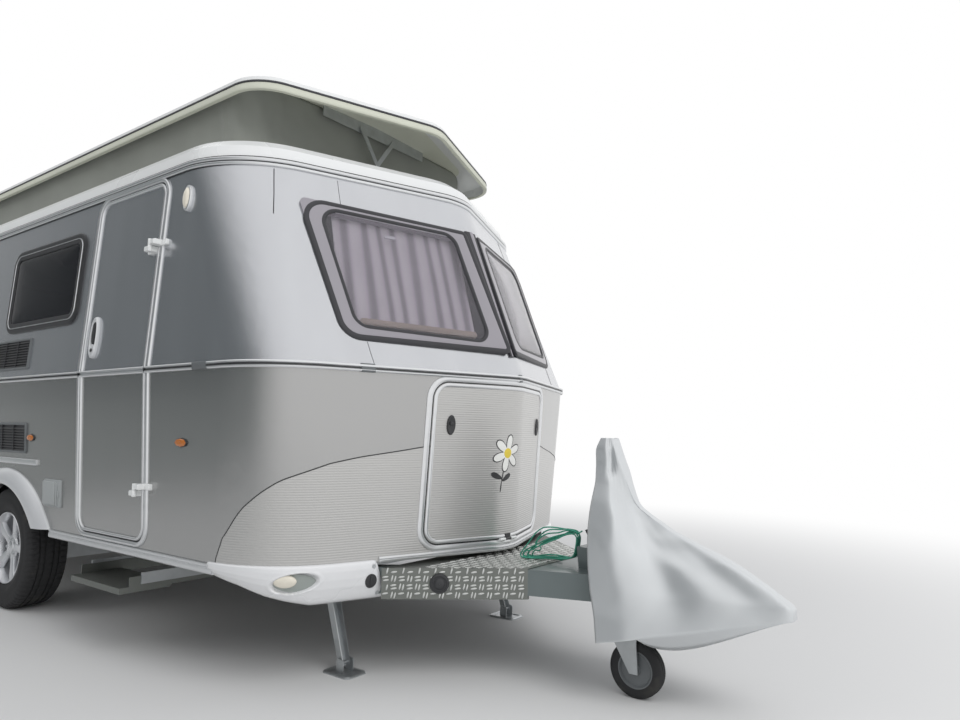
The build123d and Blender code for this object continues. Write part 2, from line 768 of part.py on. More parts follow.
with BuildPart() as drawbar:
    with BuildSketch(Plane.XY.offset(drawbar_top - drawbar_depth)):
        with BuildLine():
            Polyline(
                (tip_x, 0),
                (tip_x, drawbar_half_tip),
                (tip_x - tip_plate, drawbar_half_tip),
                (member_rear_x, member_rear_y),
                (member_rear_x, member_rear_y - member_across),
                (member_rear_x + (member_rear_y - member_across) * drawbar_slope, 0),
                close=True,
            )
        make_face()
        mirror(about=Plane.XZ)
    extrude(amount=drawbar_depth)
    extrude(head_face(0), amount=-head_depth)
    with BuildPart(mode=Mode.PRIVATE) as head_room:
        extrude(head_face(head_skin), amount=-head_depth)
        with BuildSketch(Plane.XY.offset(drawbar_top - head_skin)):
            with Locations((tip_x, 0)):
                Rectangle(4 * head_rear_half, 4 * head_rear_half)
        extrude(amount=head_skin, mode=Mode.SUBTRACT)
    add(head_room.part, mode=Mode.SUBTRACT)
    with BuildSketch(Plane.XY.offset(drawbar_top - drawbar_depth)):
        with BuildLine():
            Polyline(
                (tip_x, 0),
                (tip_x, drawbar_half_tip),
                (tip_x - tip_plate, drawbar_half_tip),
                (head_rear_x, drawbar_half_tip + (tip_x - tip_plate - head_rear_x) / drawbar_slope),
                (head_rear_x, 0),
                close=True,
            )
        make_face()
        mirror(about=Plane.XZ)
    extrude(amount=drawbar_depth)
    with BuildSketch(Plane.XZ.offset(-block_half)):
        with BuildLine():
            Polyline(
                (block_rear_x, drawbar_top),
                (block_rear_x - block_lean, block_top),
                (tip_x, block_top),
                (tip_x, drawbar_top),
                close=True,
            )
        make_face()
    extrude(amount=2 * block_half)
drawbar.part.label = "drawbar"
export_step(drawbar.part, "parts/drawbar.step")

# Chequer tray over the drawbar, open below
tray_side = 113.0
tray_front_setback = -190.0
tray_front_half = 225.0
tray_rear_setback = 230.0
tray_rear_half = 580.0


def tray_face(inset):
    with BuildSketch(Plane.XY.offset(tray_top)) as face:
        with BuildLine():
            Polyline(
                (body_front - tray_front_setback - inset, -tray_front_half + inset * 0.6),
                (body_front - tray_front_setback - inset, tray_front_half - inset * 0.6),
                (body_front - tray_rear_setback, tray_rear_half - inset * 1.4),
                (body_front - tray_rear_setback, -tray_rear_half + inset * 1.4),
                close=True,
            )
        make_face()
    return face.sketch


with BuildPart() as tray:
    extrude(tray_face(0), amount=-tray_side)
    extrude(tray_face(tray_skin), amount=-tray_side, mode=Mode.SUBTRACT)
    with Locations((body_front - (tray_front_setback + tray_rear_setback) / 2, 0, tray_top - tray_side / 2)):
        Box(600, 2 * (tray_front_half - 10), tray_side, mode=Mode.SUBTRACT)
    with Locations((body_front - tray_rear_setback, 0, tray_top - tray_side / 2)):
        Box(20, 2 * (tray_rear_half - 12), tray_side, mode=Mode.SUBTRACT)
    extrude(tray_face(0), amount=-tray_skin)
tray.part.label = "tray"
export_step(tray.part, "parts/tray.step")

# Overrun device, coupling head and handbrake
coupling_z = 384.0
overrun_radius = 27.0
socket_radius = 25.2
coupling_x = body_front - coupling_setback
with BuildPart() as coupling:
    with BuildSketch(Plane.YZ.offset(tip_x)):
        with Locations((0, coupling_z)):
            Circle(overrun_radius)
    extrude(amount=coupling_x - tip_x - 90)
    with BuildSketch(Plane.YZ.offset(coupling_x - 90)):
        with Locations((0, coupling_z)):
            RectangleRounded(70, 76, 12)
    extrude(amount=135)
    with BuildSketch(Plane.XY.offset(coupling_z - 38)):
        with Locations((coupling_x, 0)):
            Circle(socket_radius)
    extrude(amount=42, mode=Mode.SUBTRACT)
coupling.part.label = "coupling"
export_step(coupling.part, "parts/coupling.step")

lever_half_width = 12.0
with BuildPart() as handbrake:
    with BuildSketch(Plane.XZ.offset(-lever_half_width)):
        with BuildLine():
            Polyline(
                (body_front + 352, block_top),
                (body_front + 392, block_top),
                (body_front + 345, 575),
                (body_front + 318, 562),
                close=True,
            )
        make_face()
    extrude(amount=2 * lever_half_width)
handbrake.part.label = "handbrake"
export_step(handbrake.part, "parts/handbrake.step")

# Rope hank lying on the tray against the handbrake's block: corners as (ahead of the body, height)
hank_outline = ((16, 0), (60, 66), (95, 108), (140, 142), (290, 135), (311, 124), (311, 60), (296, 0))
hank_half_width = 38.0
hank_middle_y = -16.0
hank_rest = 0.4
with BuildPart() as rope_hank:
    with BuildSketch(Plane.XZ.offset(-hank_middle_y - hank_half_width)):
        with BuildLine():
            Polyline([(body_front + x, tray_top + hank_rest + z) for x, z in hank_outline], close=True)
        make_face()
    extrude(amount=2 * hank_half_width)
rope_hank.part.label = "rope_hank"
export_step(rope_hank.part, "parts/rope_hank.step")

# Axle: a square beam under the rails, ahead of the wheels, with a trailing arm and stub at each end
axle_x = body_front - axle_setback
beam_lead = 160.0
beam_size = 90.0
beam_pad = 4.0
arm_depth = 70.0
stub_radius = 20.0
stub_clearance = 0.05
drum_radius = 115.0
drum_width = 60.0
wheel_y = wheel_track / 2
drum_inner_y = wheel_y - 88.0
drum_outer_y = drum_inner_y + drum_width
arm_outer_y = drum_inner_y - 20.0
axle_arm = 40.0
stub_end_y = drum_inner_y + 44.0
beam_top = rail_bottom - beam_pad
with BuildPart() as axle:
    with Locations((axle_x + beam_lead, 0, beam_top - beam_size / 2)):
        Box(beam_size, 2 * (arm_outer_y - axle_arm), beam_size)
    for side in (-1, 1):
        with BuildSketch(Plane.XZ.offset(-side * (arm_outer_y - axle_arm / 2))):
            with BuildLine():
                Polyline(
                    (axle_x - 35, tyre_radius - arm_depth / 2),
                    (axle_x + beam_lead + beam_size / 2, beam_top - beam_size),
                    (axle_x + beam_lead + beam_size / 2, beam_top),
                    (axle_x - 35, tyre_radius + arm_depth / 2),
                    close=True,
                )
            make_face()
        extrude(amount=axle_arm / 2, both=True)
        with Locations(Plane((axle_x, side * (arm_outer_y + stub_end_y) / 2, tyre_radius), z_dir=(0, 1, 0))):
            Cylinder(stub_radius, stub_end_y - arm_outer_y)
        with Locations((axle_x + beam_lead, side * rail_y, beam_top + beam_pad / 2)):
            Box(120, rail_width + 20, beam_pad)
axle.part.label = "axle"
export_step(axle.part, "parts/axle.step")

# Wheels: tyre, five-spoke alloy wheel and drum
tyre_profile = (
    # distance from the axle, half width
    (rim_radius - 8.0, 84.0),
    (rim_radius + 30.0, 97.5),
    (tyre_radius - 25.0, 96.0),
    (tyre_radius - 5.0, 82.0),
    (tyre_radius, 66.0),
)
for name, side in (("right", -1), ("left", 1)):
    hub_plane = Plane(origin=(axle_x, side * wheel_y, tyre_radius), x_dir=(1, 0, 0), z_dir=(0, side, 0))
    profile_plane = Plane(origin=(axle_x, side * wheel_y, tyre_radius), x_dir=(0, side, 0), z_dir=(1, 0, 0))
    with BuildPart() as tyre:
        with BuildSketch(profile_plane):
            with BuildLine():
                outer = [(half, radius) for radius, half in tyre_profile]
                Polyline(*([(-half, radius) for half, radius in outer] + outer[::-1]), close=True)
            make_face()
        revolve(axis=Axis(hub_plane.origin, hub_plane.z_dir))
    tyre.part.label = "tyre_" + name
    export_step(tyre.part, "parts/tyre_" + name + ".step")

    with BuildPart() as wheel:
        with BuildSketch(hub_plane.offset(-84)):
            Circle(rim_radius - 8.3)
            Circle(rim_radius - 24, mode=Mode.SUBTRACT)
        extrude(amount=168)
        with BuildSketch(hub_plane.offset(40)):
            Circle(62)
            with PolarLocations((rim_radius - 20) / 2 + 6, 5, start_angle=90):
                Rectangle(rim_radius - 20, 44)
        extrude(amount=24)
        with BuildSketch(hub_plane.offset(drum_outer_y - wheel_y - drum_width)):
            Circle(drum_radius)
        extrude(amount=drum_width)
        with BuildSketch(hub_plane.offset(drum_outer_y - wheel_y)):
            Circle(62)
        extrude(amount=wheel_y + 40 - drum_outer_y)
        with BuildSketch(hub_plane.offset(drum_outer_y - wheel_y - drum_width)):
            Circle(stub_radius + stub_clearance)
        extrude(amount=drum_width - 12, mode=Mode.SUBTRACT)
    wheel.part.label = "wheel_" + name
    export_step(wheel.part, "parts/wheel_" + name + ".step")

# Lifting roof
with BuildPart() as lid:
    add(loft_rings(lid_rings))
    add(loft_rings(lid_rings, lid_skin, lid_skin), mode=Mode.SUBTRACT)
    split(bisect_by=Plane.XY.offset(lid_lip_ring[0]), keep=Keep.TOP)
lid.part.label = "lid"
export_step(lid.part, "parts/lid.step")

# Canvas between the deck and the lid
canvas_setback = 955.0
canvas_half_width = 800.0
canvas_skin = 5.0
canvas_gap = 0.5
canvas_reach_down = 400.0
canvas_front = body_front - canvas_setback
canvas_length = body_length - 2 * canvas_setback
with BuildPart() as canvas:
    with BuildSketch(Plane.XY.offset(deck_ring[0])):
        with Locations((body_middle, 0)):
            RectangleRounded(canvas_length, canvas_half_width * 2, 120)
            RectangleRounded(
                canvas_length - 2 * canvas_skin, (canvas_half_width - canvas_skin) * 2, 120 - canvas_skin, mode=Mode.SUBTRACT
            )
    extrude(amount=lid_top_ring[0] - deck_ring[0])
    add(loft_rings(lid_rings, lid_skin + canvas_gap, lid_skin + canvas_gap).fuse(
        Solid.extrude(
            ring_face(lid_lip_ring, lid_skin + canvas_gap, canvas_reach_down).face(),
            Vector(0, 0, canvas_reach_down - lid_skin - canvas_gap),
        )
    ), mode=Mode.INTERSECT)
canvas.part.label = "canvas"
export_step(canvas.part, "parts/canvas.step")

# Roof scissors: rails on the deck and under the lid, and two arms crossing on a pin, at each end
scissor_x = body_front - scissor_setback
scissor_rail_half = 363.0
rear_scissor_x = body_rear + scissor_setback
deck_z = deck_ring[0]
with BuildPart() as deck_rails:
    for x, out in ((scissor_x, 1), (rear_scissor_x, -1)):
        with Locations((x - out * 6, 0, deck_z + 20)):
            Box(4, scissor_rail_half * 2, 40)
        with Locations((x - out * 4, -scissor_half_span, scissor_foot_z)):
            Cylinder(5, 12, rotation=(0, 90, 0))
deck_rails.part.label = "deck_rails"
export_step(deck_rails.part, "parts/deck_rails.step")

lid_rail_bottom = scissor_head_z - 20
with BuildPart() as lid_rails:
    for x, out in ((scissor_x, 1), (rear_scissor_x, -1)):
        with Locations((x - out * 6, 0, lid_rail_bottom + 50)):
            Box(4, scissor_rail_half * 2, 100)
    add(loft_rings(lid_rings, lid_skin, lid_skin), mode=Mode.INTERSECT)
lid_rails.part.label = "lid_rails"
export_step(lid_rails.part, "parts/lid_rails.step")

arm_length = math.hypot(2 * scissor_half_span, scissor_head_z - scissor_foot_z)
arm_angle = math.degrees(math.atan2(scissor_head_z - scissor_foot_z, 2 * scissor_half_span))
arm_middle_z = (scissor_head_z + scissor_foot_z) / 2
for name, x, out in (("front", scissor_x, 1), ("rear", rear_scissor_x, -1)):
    for arm, lift, tilt in (("a", 0, arm_angle), ("b", arm_thickness + 1, -arm_angle)):
        with BuildPart() as blade:
            with BuildSketch(Plane(origin=(x + out * lift, 0, arm_middle_z), x_dir=(0, 1, 0), z_dir=(1, 0, 0))):
                SlotCenterToCenter(arm_length, arm_width, rotation=tilt)
            extrude(amount=out * arm_thickness)
            if arm == "a":
                with Locations((x + out * (arm_thickness + 4), 0, arm_middle_z)):
                    Cylinder(4.95, 8, rotation=(0, 90, 0))
                with Locations((x + out * arm_thickness / 2, -scissor_half_span, scissor_foot_z)):
                    Cylinder(5.05, 20, rotation=(0, 90, 0), mode=Mode.SUBTRACT)
            else:
                with Locations((x, 0, arm_middle_z)):
                    Cylinder(5, 60, rotation=(0, 90, 0), mode=Mode.SUBTRACT)
        blade.part.label = "scissor_" + name + "_" + arm
        export_step(blade.part, "parts/scissor_" + name + "_" + arm + ".step")

# Corner steadies: a bracket under the floor and a leg with its foot plate
for name, x, side, out in steady_places:
    foot_x = x + out * steady_foot_reach
    with BuildPart() as leg:
        with BuildSketch(Plane.XZ.offset(-side * steady_y - steady_leg_width / 2)):
            with BuildLine():
                Polyline(
                    (x - out * 20, steady_pivot_z + 14),
                    (x + out * 20, steady_pivot_z + 14),
                    (foot_x + out * 16, 20),
                    (foot_x - out * 16, 20),
                    close=True,
                )
            make_face()
        extrude(amount=steady_leg_width)
        with Locations((foot_x, side * steady_y, 10)):
            Box(150, 110, 20)
        with Locations((x, side * steady_y, steady_pivot_z)):
            Cylinder(steady_pin_radius + 0.1, 80, rotation=(90, 0, 0), mode=Mode.SUBTRACT)
    leg.part.label = "steady_" + name
    export_step(leg.part, "parts/steady_" + name + ".step")

# Jockey wheel: clamp, outer tube and crank, inner tube, fork and wheel
jockey_x = body_front - jockey_setback
jockey_tube_radius = 24.0
jockey_sleeve_radius = 28.0
jockey_sleeve_bottom = 338.0
jockey_sleeve_top = 720.0
jockey_tube_length = 290.0
jockey_spindle_radius = 8.0
crank_height = 790.0
crank_top = cover_top - cover_skin - cover_rest
jockey_gap = 7.0  # tyre to fork, above and on each side
fork_plate = 6.0
fork_low = 2 * jockey_radius + jockey_gap
fork_boss_radius = 20.0
fork_boss_top = fork_low + fork_plate + 17.0
pin_gap = 0.3
with BuildPart() as jockey_clamp:
    with Locations(((tip_x + jockey_x) / 2, jockey_y + 17, drawbar_top - drawbar_depth / 2)):
        Box(jockey_x - tip_x, 38, 60)
    with BuildSketch(Plane.XY.offset(jockey_sleeve_bottom)):
        with Locations((jockey_x, jockey_y)):
            Circle(jockey_sleeve_radius)
    extrude(amount=jockey_sleeve_top - jockey_sleeve_bottom)
    with BuildSketch(Plane.XY.offset(jockey_sleeve_bottom)):
        with Locations((jockey_x, jockey_y)):
            Circle(jockey_tube_radius)
    extrude(amount=jockey_sleeve_top - jockey_sleeve_bottom - 10, mode=Mode.SUBTRACT)
    with Locations((jockey_x, jockey_y, (jockey_sleeve_top + crank_height) / 2)):
        Cylinder(jockey_spindle_radius, crank_height - jockey_sleeve_top)
    with Locations((jockey_x - jockey_crank_reach / 2, jockey_y, crank_height)):
        Box(jockey_crank_reach + 2 * jockey_spindle_radius, 2 * jockey_spindle_radius, 10)
    with Locations((jockey_x - jockey_crank_reach, jockey_y, (crank_height + crank_top) / 2)):
        Cylinder(jockey_spindle_radius, crank_top - crank_height)
jockey_clamp.part.label = "jockey_clamp"
export_step(jockey_clamp.part, "parts/jockey_clamp.step")

with BuildPart() as jockey_tube:
    with BuildSketch(Plane.XY.offset(fork_boss_top + pin_gap)):
        with Locations((jockey_x, jockey_y)):
            Circle(jockey_tube_radius - 0.05)
    extrude(amount=jockey_tube_length)
jockey_tube.part.label = "jockey_tube"
export_step(jockey_tube.part, "parts/jockey_tube.step")

jockey_axle_x = jockey_x + jockey_trail
fork_side_y = jockey_width / 2 + jockey_gap
with BuildPart() as jockey_fork:
    with Locations((jockey_x + 20, jockey_y, fork_low + fork_plate / 2)):
        Box(100, 2 * fork_side_y + fork_plate, fork_plate)
    with Locations((jockey_x, jockey_y, (fork_low + fork_boss_top) / 2)):
        Cylinder(fork_boss_radius, fork_boss_top - fork_low)
    for side in (-1, 1):
        with BuildSketch(Plane.XZ.offset(-jockey_y + side * fork_side_y - fork_plate / 2)):
            with BuildLine():
                Polyline(
                    (jockey_x - 30, fork_low + fork_plate),
                    (jockey_x + 70, fork_low + fork_plate),
                    (jockey_axle_x + 16, jockey_radius - 12),
                    (jockey_axle_x - 16, jockey_radius - 12),
                    close=True,
                )
            make_face()
        extrude(amount=fork_plate)
    with Locations((jockey_axle_x, jockey_y, jockey_radius)):
        Cylinder(7, 2 * fork_side_y, rotation=(90, 0, 0))
jockey_fork.part.label = "jockey_fork"
export_step(jockey_fork.part, "parts/jockey_fork.step")

with BuildPart() as jockey_wheel:
    with Locations((jockey_axle_x, jockey_y, jockey_radius)):
        Cylinder(jockey_radius, jockey_width, rotation=(90, 0, 0))
        Cylinder(7.05, jockey_width + 2, rotation=(90, 0, 0), mode=Mode.SUBTRACT)
jockey_wheel.part.label = "jockey_wheel"
export_step(jockey_wheel.part, "parts/jockey_wheel.step")

# Step below the door, sliding out between the two runners under the chassis rail
with BuildPart() as step:
    with Locations((body_front - step_setback, -step_edge_y + step_depth / 2, step_top - step_thickness / 2)):
        Box(step_length, step_depth, step_thickness)
    for end in (-1, 1):
        arm_x = body_front - step_setback + end * (step_length - step_arm) / 2
        with Locations((arm_x, -step_edge_y + 40 + step_arm_length / 2, step_top + 12)):
            Box(step_arm, step_arm_length, 52)
step.part.label = "step"
export_step(step.part, "parts/step.step")

# Cover over the coupling, open below and behind
cover_back = body_front + 430.0
cover_shoulder = 110.0  # how far ahead of its back the cover starts to narrow
cover_hem = ((350.0, 218.0), (649.0, 343.0))  # the lower edge rises ahead of the jockey wheel
# Columns of the sections: height, front X from the back, half width behind, half width ahead, middle Y
cover_sections = (
    (218.0, 649.0, 236.0, 80.0, 0.0),
    (343.0, 649.0, 200.0, 70.0, 0.0),
    (640.0, 344.0, 135.0, 60.0, -20.0),
    (cover_top, 50.0, 40.0, 34.0, jockey_y),
)


def cover_face(row, inset, drop, back):
    height, front, half, front_half, middle_y = row
    shoulder = min(cover_shoulder, front / 2)
    with BuildSketch(Plane.XY.offset(height - drop)) as face:
        with BuildLine():
            Polyline(
                (cover_back + back, middle_y + inset - half),
                (cover_back + shoulder, middle_y + inset - half),
                (cover_back + front - inset, middle_y + inset - front_half),
                (cover_back + front - inset, middle_y + front_half - inset),
                (cover_back + shoulder, middle_y + half - inset),
                (cover_back + back, middle_y + half - inset),
                close=True,
            )
        make_face()
    return face.sketch


with BuildPart() as hitch_cover:
    loft([cover_face(row, 0, 0, 0) for row in cover_sections], ruled=True)
    inner = [cover_face(cover_sections[0], cover_skin, 1.0, -10.0)]
    inner += [cover_face(row, cover_skin, 0, -10.0) for row in cover_sections[1:3]]
    inner += [cover_face(cover_sections[3], cover_skin, cover_skin, cover_skin)]
    loft(inner, ruled=True, mode=Mode.SUBTRACT)
    (hem_x, hem_z), (tip_front, tip_low) = cover_hem
    with BuildSketch(Plane.XZ.offset(-cover_sections[0][2] - 1)):
        with BuildLine():
            Polyline(
                (cover_back + hem_x, hem_z),
                (cover_back + tip_front, tip_low),
                (cover_back + tip_front + 2, tip_low),
                (cover_back + tip_front + 2, hem_z - 2),
                (cover_back + hem_x, hem_z - 2),
                close=True,
            )
        make_face()
    extrude(amount=2 * cover_sections[0][2] + 2, mode=Mode.SUBTRACT)
hitch_cover.part.label = "hitch_cover"
export_step(hitch_cover.part, "parts/hitch_cover.step")

# Vents, hatches, lamps and reflectors on the sides
patch_root = 4.0  # each is drawn from inside the wall and cut back to its face


def side_patch(setback, height, width, tall, radius, stand, both_sides=False):
    with BuildPart() as patch:
        with BuildSketch(side_plane(height, setback).offset(-patch_root)):
            RectangleRounded(width, tall, radius)
        extrude(amount=stand + patch_root)
        with BuildSketch(side_plane(height, setback)):
            Rectangle(width * 2, tall * 2)
        extrude(amount=-2 * patch_root, mode=Mode.SUBTRACT)
    if both_sides:
        return [patch.part, patch.part.mirror(Plane.XZ)]
    return [patch.part]


vent_width = 440.0
# Columns: setback, height, width, height of the grille
side_vents = (
    (axle_setback + 10.0, 1300.0, vent_width, 160.0),
    (axle_setback - 5.0, 871.0, vent_width, 153.0),
)
# Inlet hatch, in the wall between the door and the arch flare at the hatch's height
hatch_height = 618.0
flare_front = axle_setback - 415.0
hatch_wall = flare_front - door_rear
hatch_setback = door_rear + 0.679 * hatch_wall
hatch_width = 0.455 * hatch_wall
with BuildPart() as vents:
    for setback, height, width, tall in side_vents:
        add(side_patch(setback, height, width, tall, 12, 9))
    add(side_patch(hatch_setback, hatch_height, hatch_width, 128.0, 8, 20))
vents.part.label = "side_hatches"
export_step(vents.part, "parts/side_hatches.step")

front_reflector = (door_front - 263.0, 880.0)
middle_reflector = (axle_setback - 277.0, 874.0)
with BuildPart() as reflectors:
    for setback, height in (front_reflector, middle_reflector):
        add(side_patch(setback, height, 86.0, 36.0, 8, 12, True))
reflectors.part.label = "reflectors"
export_step(reflectors.part, "parts/reflectors.step")

awning_lamp_setback = door_front - 170.0
awning_lamp_height = door_top - 116.0
with BuildPart() as awning_lamp:
    add(side_patch(awning_lamp_setback, awning_lamp_height, 52.0, 110.0, 25.9, 24))
awning_lamp.part.label = "awning_lamp"
export_step(awning_lamp.part, "parts/awning_lamp.step")

# Tail lamps, round, two on each side of the rear wall below the waist
tail_lamp_radius = 48.0
with BuildPart() as tail_lamps:
    for y in (640.0, 520.0):
        for side in (-1, 1):
            v_slope = math.tan(math.radians(sill_ring[3]))
            lamp_plane = Plane(
                origin=(body_rear + sill_ring[2] + v_slope * y, side * y, 540),
                x_dir=(0, 0, 1),
                z_dir=(-1, side * v_slope, 0),
            )
            with BuildSketch(lamp_plane):
                Circle(tail_lamp_radius)
            extrude(amount=22)
    add(body_block.part, mode=Mode.SUBTRACT)
tail_lamps.part.label = "tail_lamps"
export_step(tail_lamps.part, "parts/tail_lamps.step")

# Curtains inside the end windows, following the wall's inner face
curtain_gap = 0.3
curtain_thickness = 14.0
with BuildPart() as end_curtain:
    with BuildSketch(front_plane):
        with Locations((0, -10)):
            Rectangle(600, 560)
    extrude(amount=-3 * wall)
    add(loft_rings((waist_ring, gutter_ring), wall + curtain_gap), mode=Mode.INTERSECT)
    add(loft_rings((waist_ring, gutter_ring), wall + curtain_gap + curtain_thickness), mode=Mode.SUBTRACT)
with BuildPart() as curtains:
    add(four_ends(end_curtain.part))
curtains.part.label = "curtains"
export_step(curtains.part, "parts/curtains.step")
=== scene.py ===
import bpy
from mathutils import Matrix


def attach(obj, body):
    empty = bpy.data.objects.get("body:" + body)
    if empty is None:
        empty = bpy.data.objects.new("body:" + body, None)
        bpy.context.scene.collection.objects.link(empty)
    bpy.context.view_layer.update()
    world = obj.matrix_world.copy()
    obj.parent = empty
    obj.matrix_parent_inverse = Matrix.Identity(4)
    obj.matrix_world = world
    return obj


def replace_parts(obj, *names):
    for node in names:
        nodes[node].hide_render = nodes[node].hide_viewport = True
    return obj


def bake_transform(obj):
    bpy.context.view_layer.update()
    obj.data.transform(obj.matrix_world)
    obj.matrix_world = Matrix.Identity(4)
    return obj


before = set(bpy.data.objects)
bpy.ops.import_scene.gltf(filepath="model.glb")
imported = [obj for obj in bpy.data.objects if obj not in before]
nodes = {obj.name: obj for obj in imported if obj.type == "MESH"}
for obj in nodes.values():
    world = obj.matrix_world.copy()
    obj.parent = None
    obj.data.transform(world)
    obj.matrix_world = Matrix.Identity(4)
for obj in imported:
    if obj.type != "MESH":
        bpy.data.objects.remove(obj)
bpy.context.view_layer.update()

import math

import bmesh
import bpy
import numpy as np
from mathutils import Matrix, Vector

# Lengths are in metres. X runs forward, Y to the left side, Z up from the ground.
bodyFront = 1.9255
bodyRear = bodyFront - 4.92
rightSide, leftSide = -1, 1
waistHeight, gutterHeight, sillHeight = 1.17, 2.012, 0.444
axleSetback = 2.505


# Scene, camera and light
def lookMatrix(azimuth, pitch, roll):
    # Forward, right and up come from the two angles, then right and up are turned by the roll
    a, e, r = (math.radians(v) for v in (azimuth, pitch, roll))
    forward = Vector((-math.sin(a) * math.cos(e), math.cos(a) * math.cos(e), math.sin(e)))
    right = Vector((math.cos(a), math.sin(a), 0))
    up = right.cross(forward)
    turnedRight = right * math.cos(r) + up * math.sin(r)
    turnedUp = up * math.cos(r) - right * math.sin(r)
    return Matrix((turnedRight, turnedUp, -forward)).transposed().to_4x4()


view = {
    "place": (3.6048, -2.5403, 0.9426),
    "azimuth": 36.8,
    "pitch": 5.75,
    "roll": 0.95,
    "lens": 26.54,
}
camera = bpy.data.objects.new("camera", bpy.data.cameras.new("camera"))
camera.data.lens = view["lens"]
camera.data.sensor_width = 36
camera.data.clip_end = 200
turned = lookMatrix(view["azimuth"], view["pitch"], view["roll"])
camera.matrix_world = Matrix.Translation(view["place"]) @ turned
bpy.context.scene.collection.objects.link(camera)
bpy.context.scene.camera = camera
bpy.context.scene.view_settings.view_transform = "Standard"


def newMaterial(name):
    material = bpy.data.materials.new(name)
    material.use_nodes = True
    tree = material.node_tree
    return material, tree, tree.nodes["Principled BSDF"]


def setInput(tree, socket, value):
    # A socket as the value is linked, anything else is set
    if isinstance(value, bpy.types.NodeSocket):
        tree.links.new(value, socket)
    else:
        socket.default_value = (*value, 1) if socket.type == "RGBA" else value


def addNode(tree, kind, inputs, **settings):
    made = tree.nodes.new("ShaderNode" + kind)
    for key, value in settings.items():
        setattr(made, key, value)
    for key, value in inputs.items():
        setInput(tree, made.inputs[key], value)
    return made


studio = {
    "floorColor": (0.7, 0.7, 0.69),
    "floorFade": (2.2, 7.0),
    "skyColor": (0.95, 0.96, 1.0),
    "sideColor": (0.26, 0.28, 0.29),
    "groundColor": (0.5, 0.51, 0.5),
    "worldStrength": 0.8,
    "backdrop": (1.0, 1.0, 1.0),
    "darkCard": (0.1, 0.115, 0.12),
    "floorCard": (0.24, 0.26, 0.26),
    "keyPower": 420.0,
    "keyPlace": (9.0, -2.5, 8.0),
    "keySize": 7.0,
    "fillPower": 150.0,
    "fillPlace": (-4.0, -9.0, 6.0),
    "fillSize": 6.0,
}


def areaLight(name, power, place, aim, size):
    lamp = bpy.data.objects.new(name, bpy.data.lights.new(name, "AREA"))
    lamp.data.energy = power
    lamp.data.shape = "DISK"
    lamp.data.size = size
    lamp.visible_glossy = False
    lamp.location = place
    lamp.rotation_euler = (Vector(aim) - Vector(place)).to_track_quat("-Z", "Y").to_euler()
    bpy.context.scene.collection.objects.link(lamp)


def riseBetween(tree, value, low, high):
    inputs = {"Value": value, "From Min": low, "From Max": high}
    return addNode(tree, "MapRange", inputs, interpolation_type="SMOOTHSTEP").outputs["Result"]


def blendColors(tree, first, second, share):
    inputs = {"A": first, "B": second, "Factor": share}
    return addNode(tree, "Mix", inputs, data_type="RGBA").outputs["Result"]


def backdropColor(tree, direction, color):
    # White all round but for a grey card beside the caravan that gives the paint its depth
    outputs = addNode(tree, "SeparateXYZ", {0: direction}).outputs
    for value, (low, high) in zip(outputs, ((-0.2, 0.72), (-0.42, 0.08), (0.42, 0.85))):
        color = blendColors(tree, color, studio["backdrop"], riseBetween(tree, value, low, high))
    return color


def directRays(tree):
    # One for what is seen straight on, in a mirror or through glass
    rays = addNode(tree, "LightPath", {}).outputs
    total = rays["Is Camera Ray"]
    for kind in ("Is Glossy Ray", "Is Transmission Ray"):
        total = addNode(tree, "Math", {0: total, 1: rays[kind]}, operation="MAXIMUM").outputs[0]
    return total


def buildWorld():
    # The light comes from ahead and overhead, less from beside and behind, and is grey from below
    world = bpy.data.worlds.new("studio")
    bpy.context.scene.world = world
    world.use_nodes = True
    tree = world.node_tree
    direction = addNode(tree, "TexCoord", {}).outputs["Generated"]
    x, _, z = addNode(tree, "SeparateXYZ", {0: direction}).outputs
    level = blendColors(tree, studio["sideColor"], studio["skyColor"], riseBetween(tree, x, -0.42, 0.6))
    above = blendColors(tree, level, studio["skyColor"], riseBetween(tree, z, 0.3, 0.9))
    below = blendColors(tree, above, studio["groundColor"], riseBetween(tree, z, 0.02, -0.25))
    lit = tree.nodes["Background"]
    setInput(tree, lit.inputs["Color"], below)
    setInput(tree, lit.inputs["Strength"], studio["worldStrength"])
    seen = addNode(tree, "Background", {"Color": backdropColor(tree, direction, studio["darkCard"])})
    mix = addNode(tree, "MixShader", {"Fac": directRays(tree), 1: lit.outputs[0], 2: seen.outputs[0]})
    setInput(tree, tree.nodes["World Output"].inputs["Surface"], mix.outputs[0])


def buildFloor():
    size = 60.0
    mesh = bpy.data.meshes.new("floorMesh")
    corners = [(-size, -size, 0), (size, -size, 0), (size, size, 0), (-size, size, 0)]
    mesh.from_pydata(corners, [], [(0, 1, 2, 3)])
    floor = bpy.data.objects.new("studioFloor", mesh)
    bpy.context.scene.collection.objects.link(floor)
    material, tree, shader = newMaterial("studioFloor")
    setInput(tree, shader.inputs["Base Color"], studio["floorColor"])
    shader.inputs["Roughness"].default_value = 0.9
    # Far from the caravan the floor turns into the backdrop that lies in the same direction
    place = addNode(tree, "TexCoord", {}).outputs["Object"]
    distance = addNode(tree, "VectorMath", {0: place}, operation="LENGTH").outputs["Value"]
    fade = riseBetween(tree, distance, *studio["floorFade"])
    share = addNode(tree, "Math", {0: fade, 1: directRays(tree)}, operation="MULTIPLY").outputs[0]
    incoming = addNode(tree, "NewGeometry", {}).outputs["Incoming"]
    away = addNode(tree, "VectorMath", {0: incoming, "Scale": -1.0}, operation="SCALE").outputs[0]
    far = addNode(tree, "Emission", {"Color": backdropColor(tree, away, studio["floorCard"])})
    mix = addNode(tree, "MixShader", {"Fac": share, 1: shader.outputs[0], 2: far.outputs[0]})
    setInput(tree, tree.nodes["Material Output"].inputs["Surface"], mix.outputs[0])
    mesh.materials.append(material)


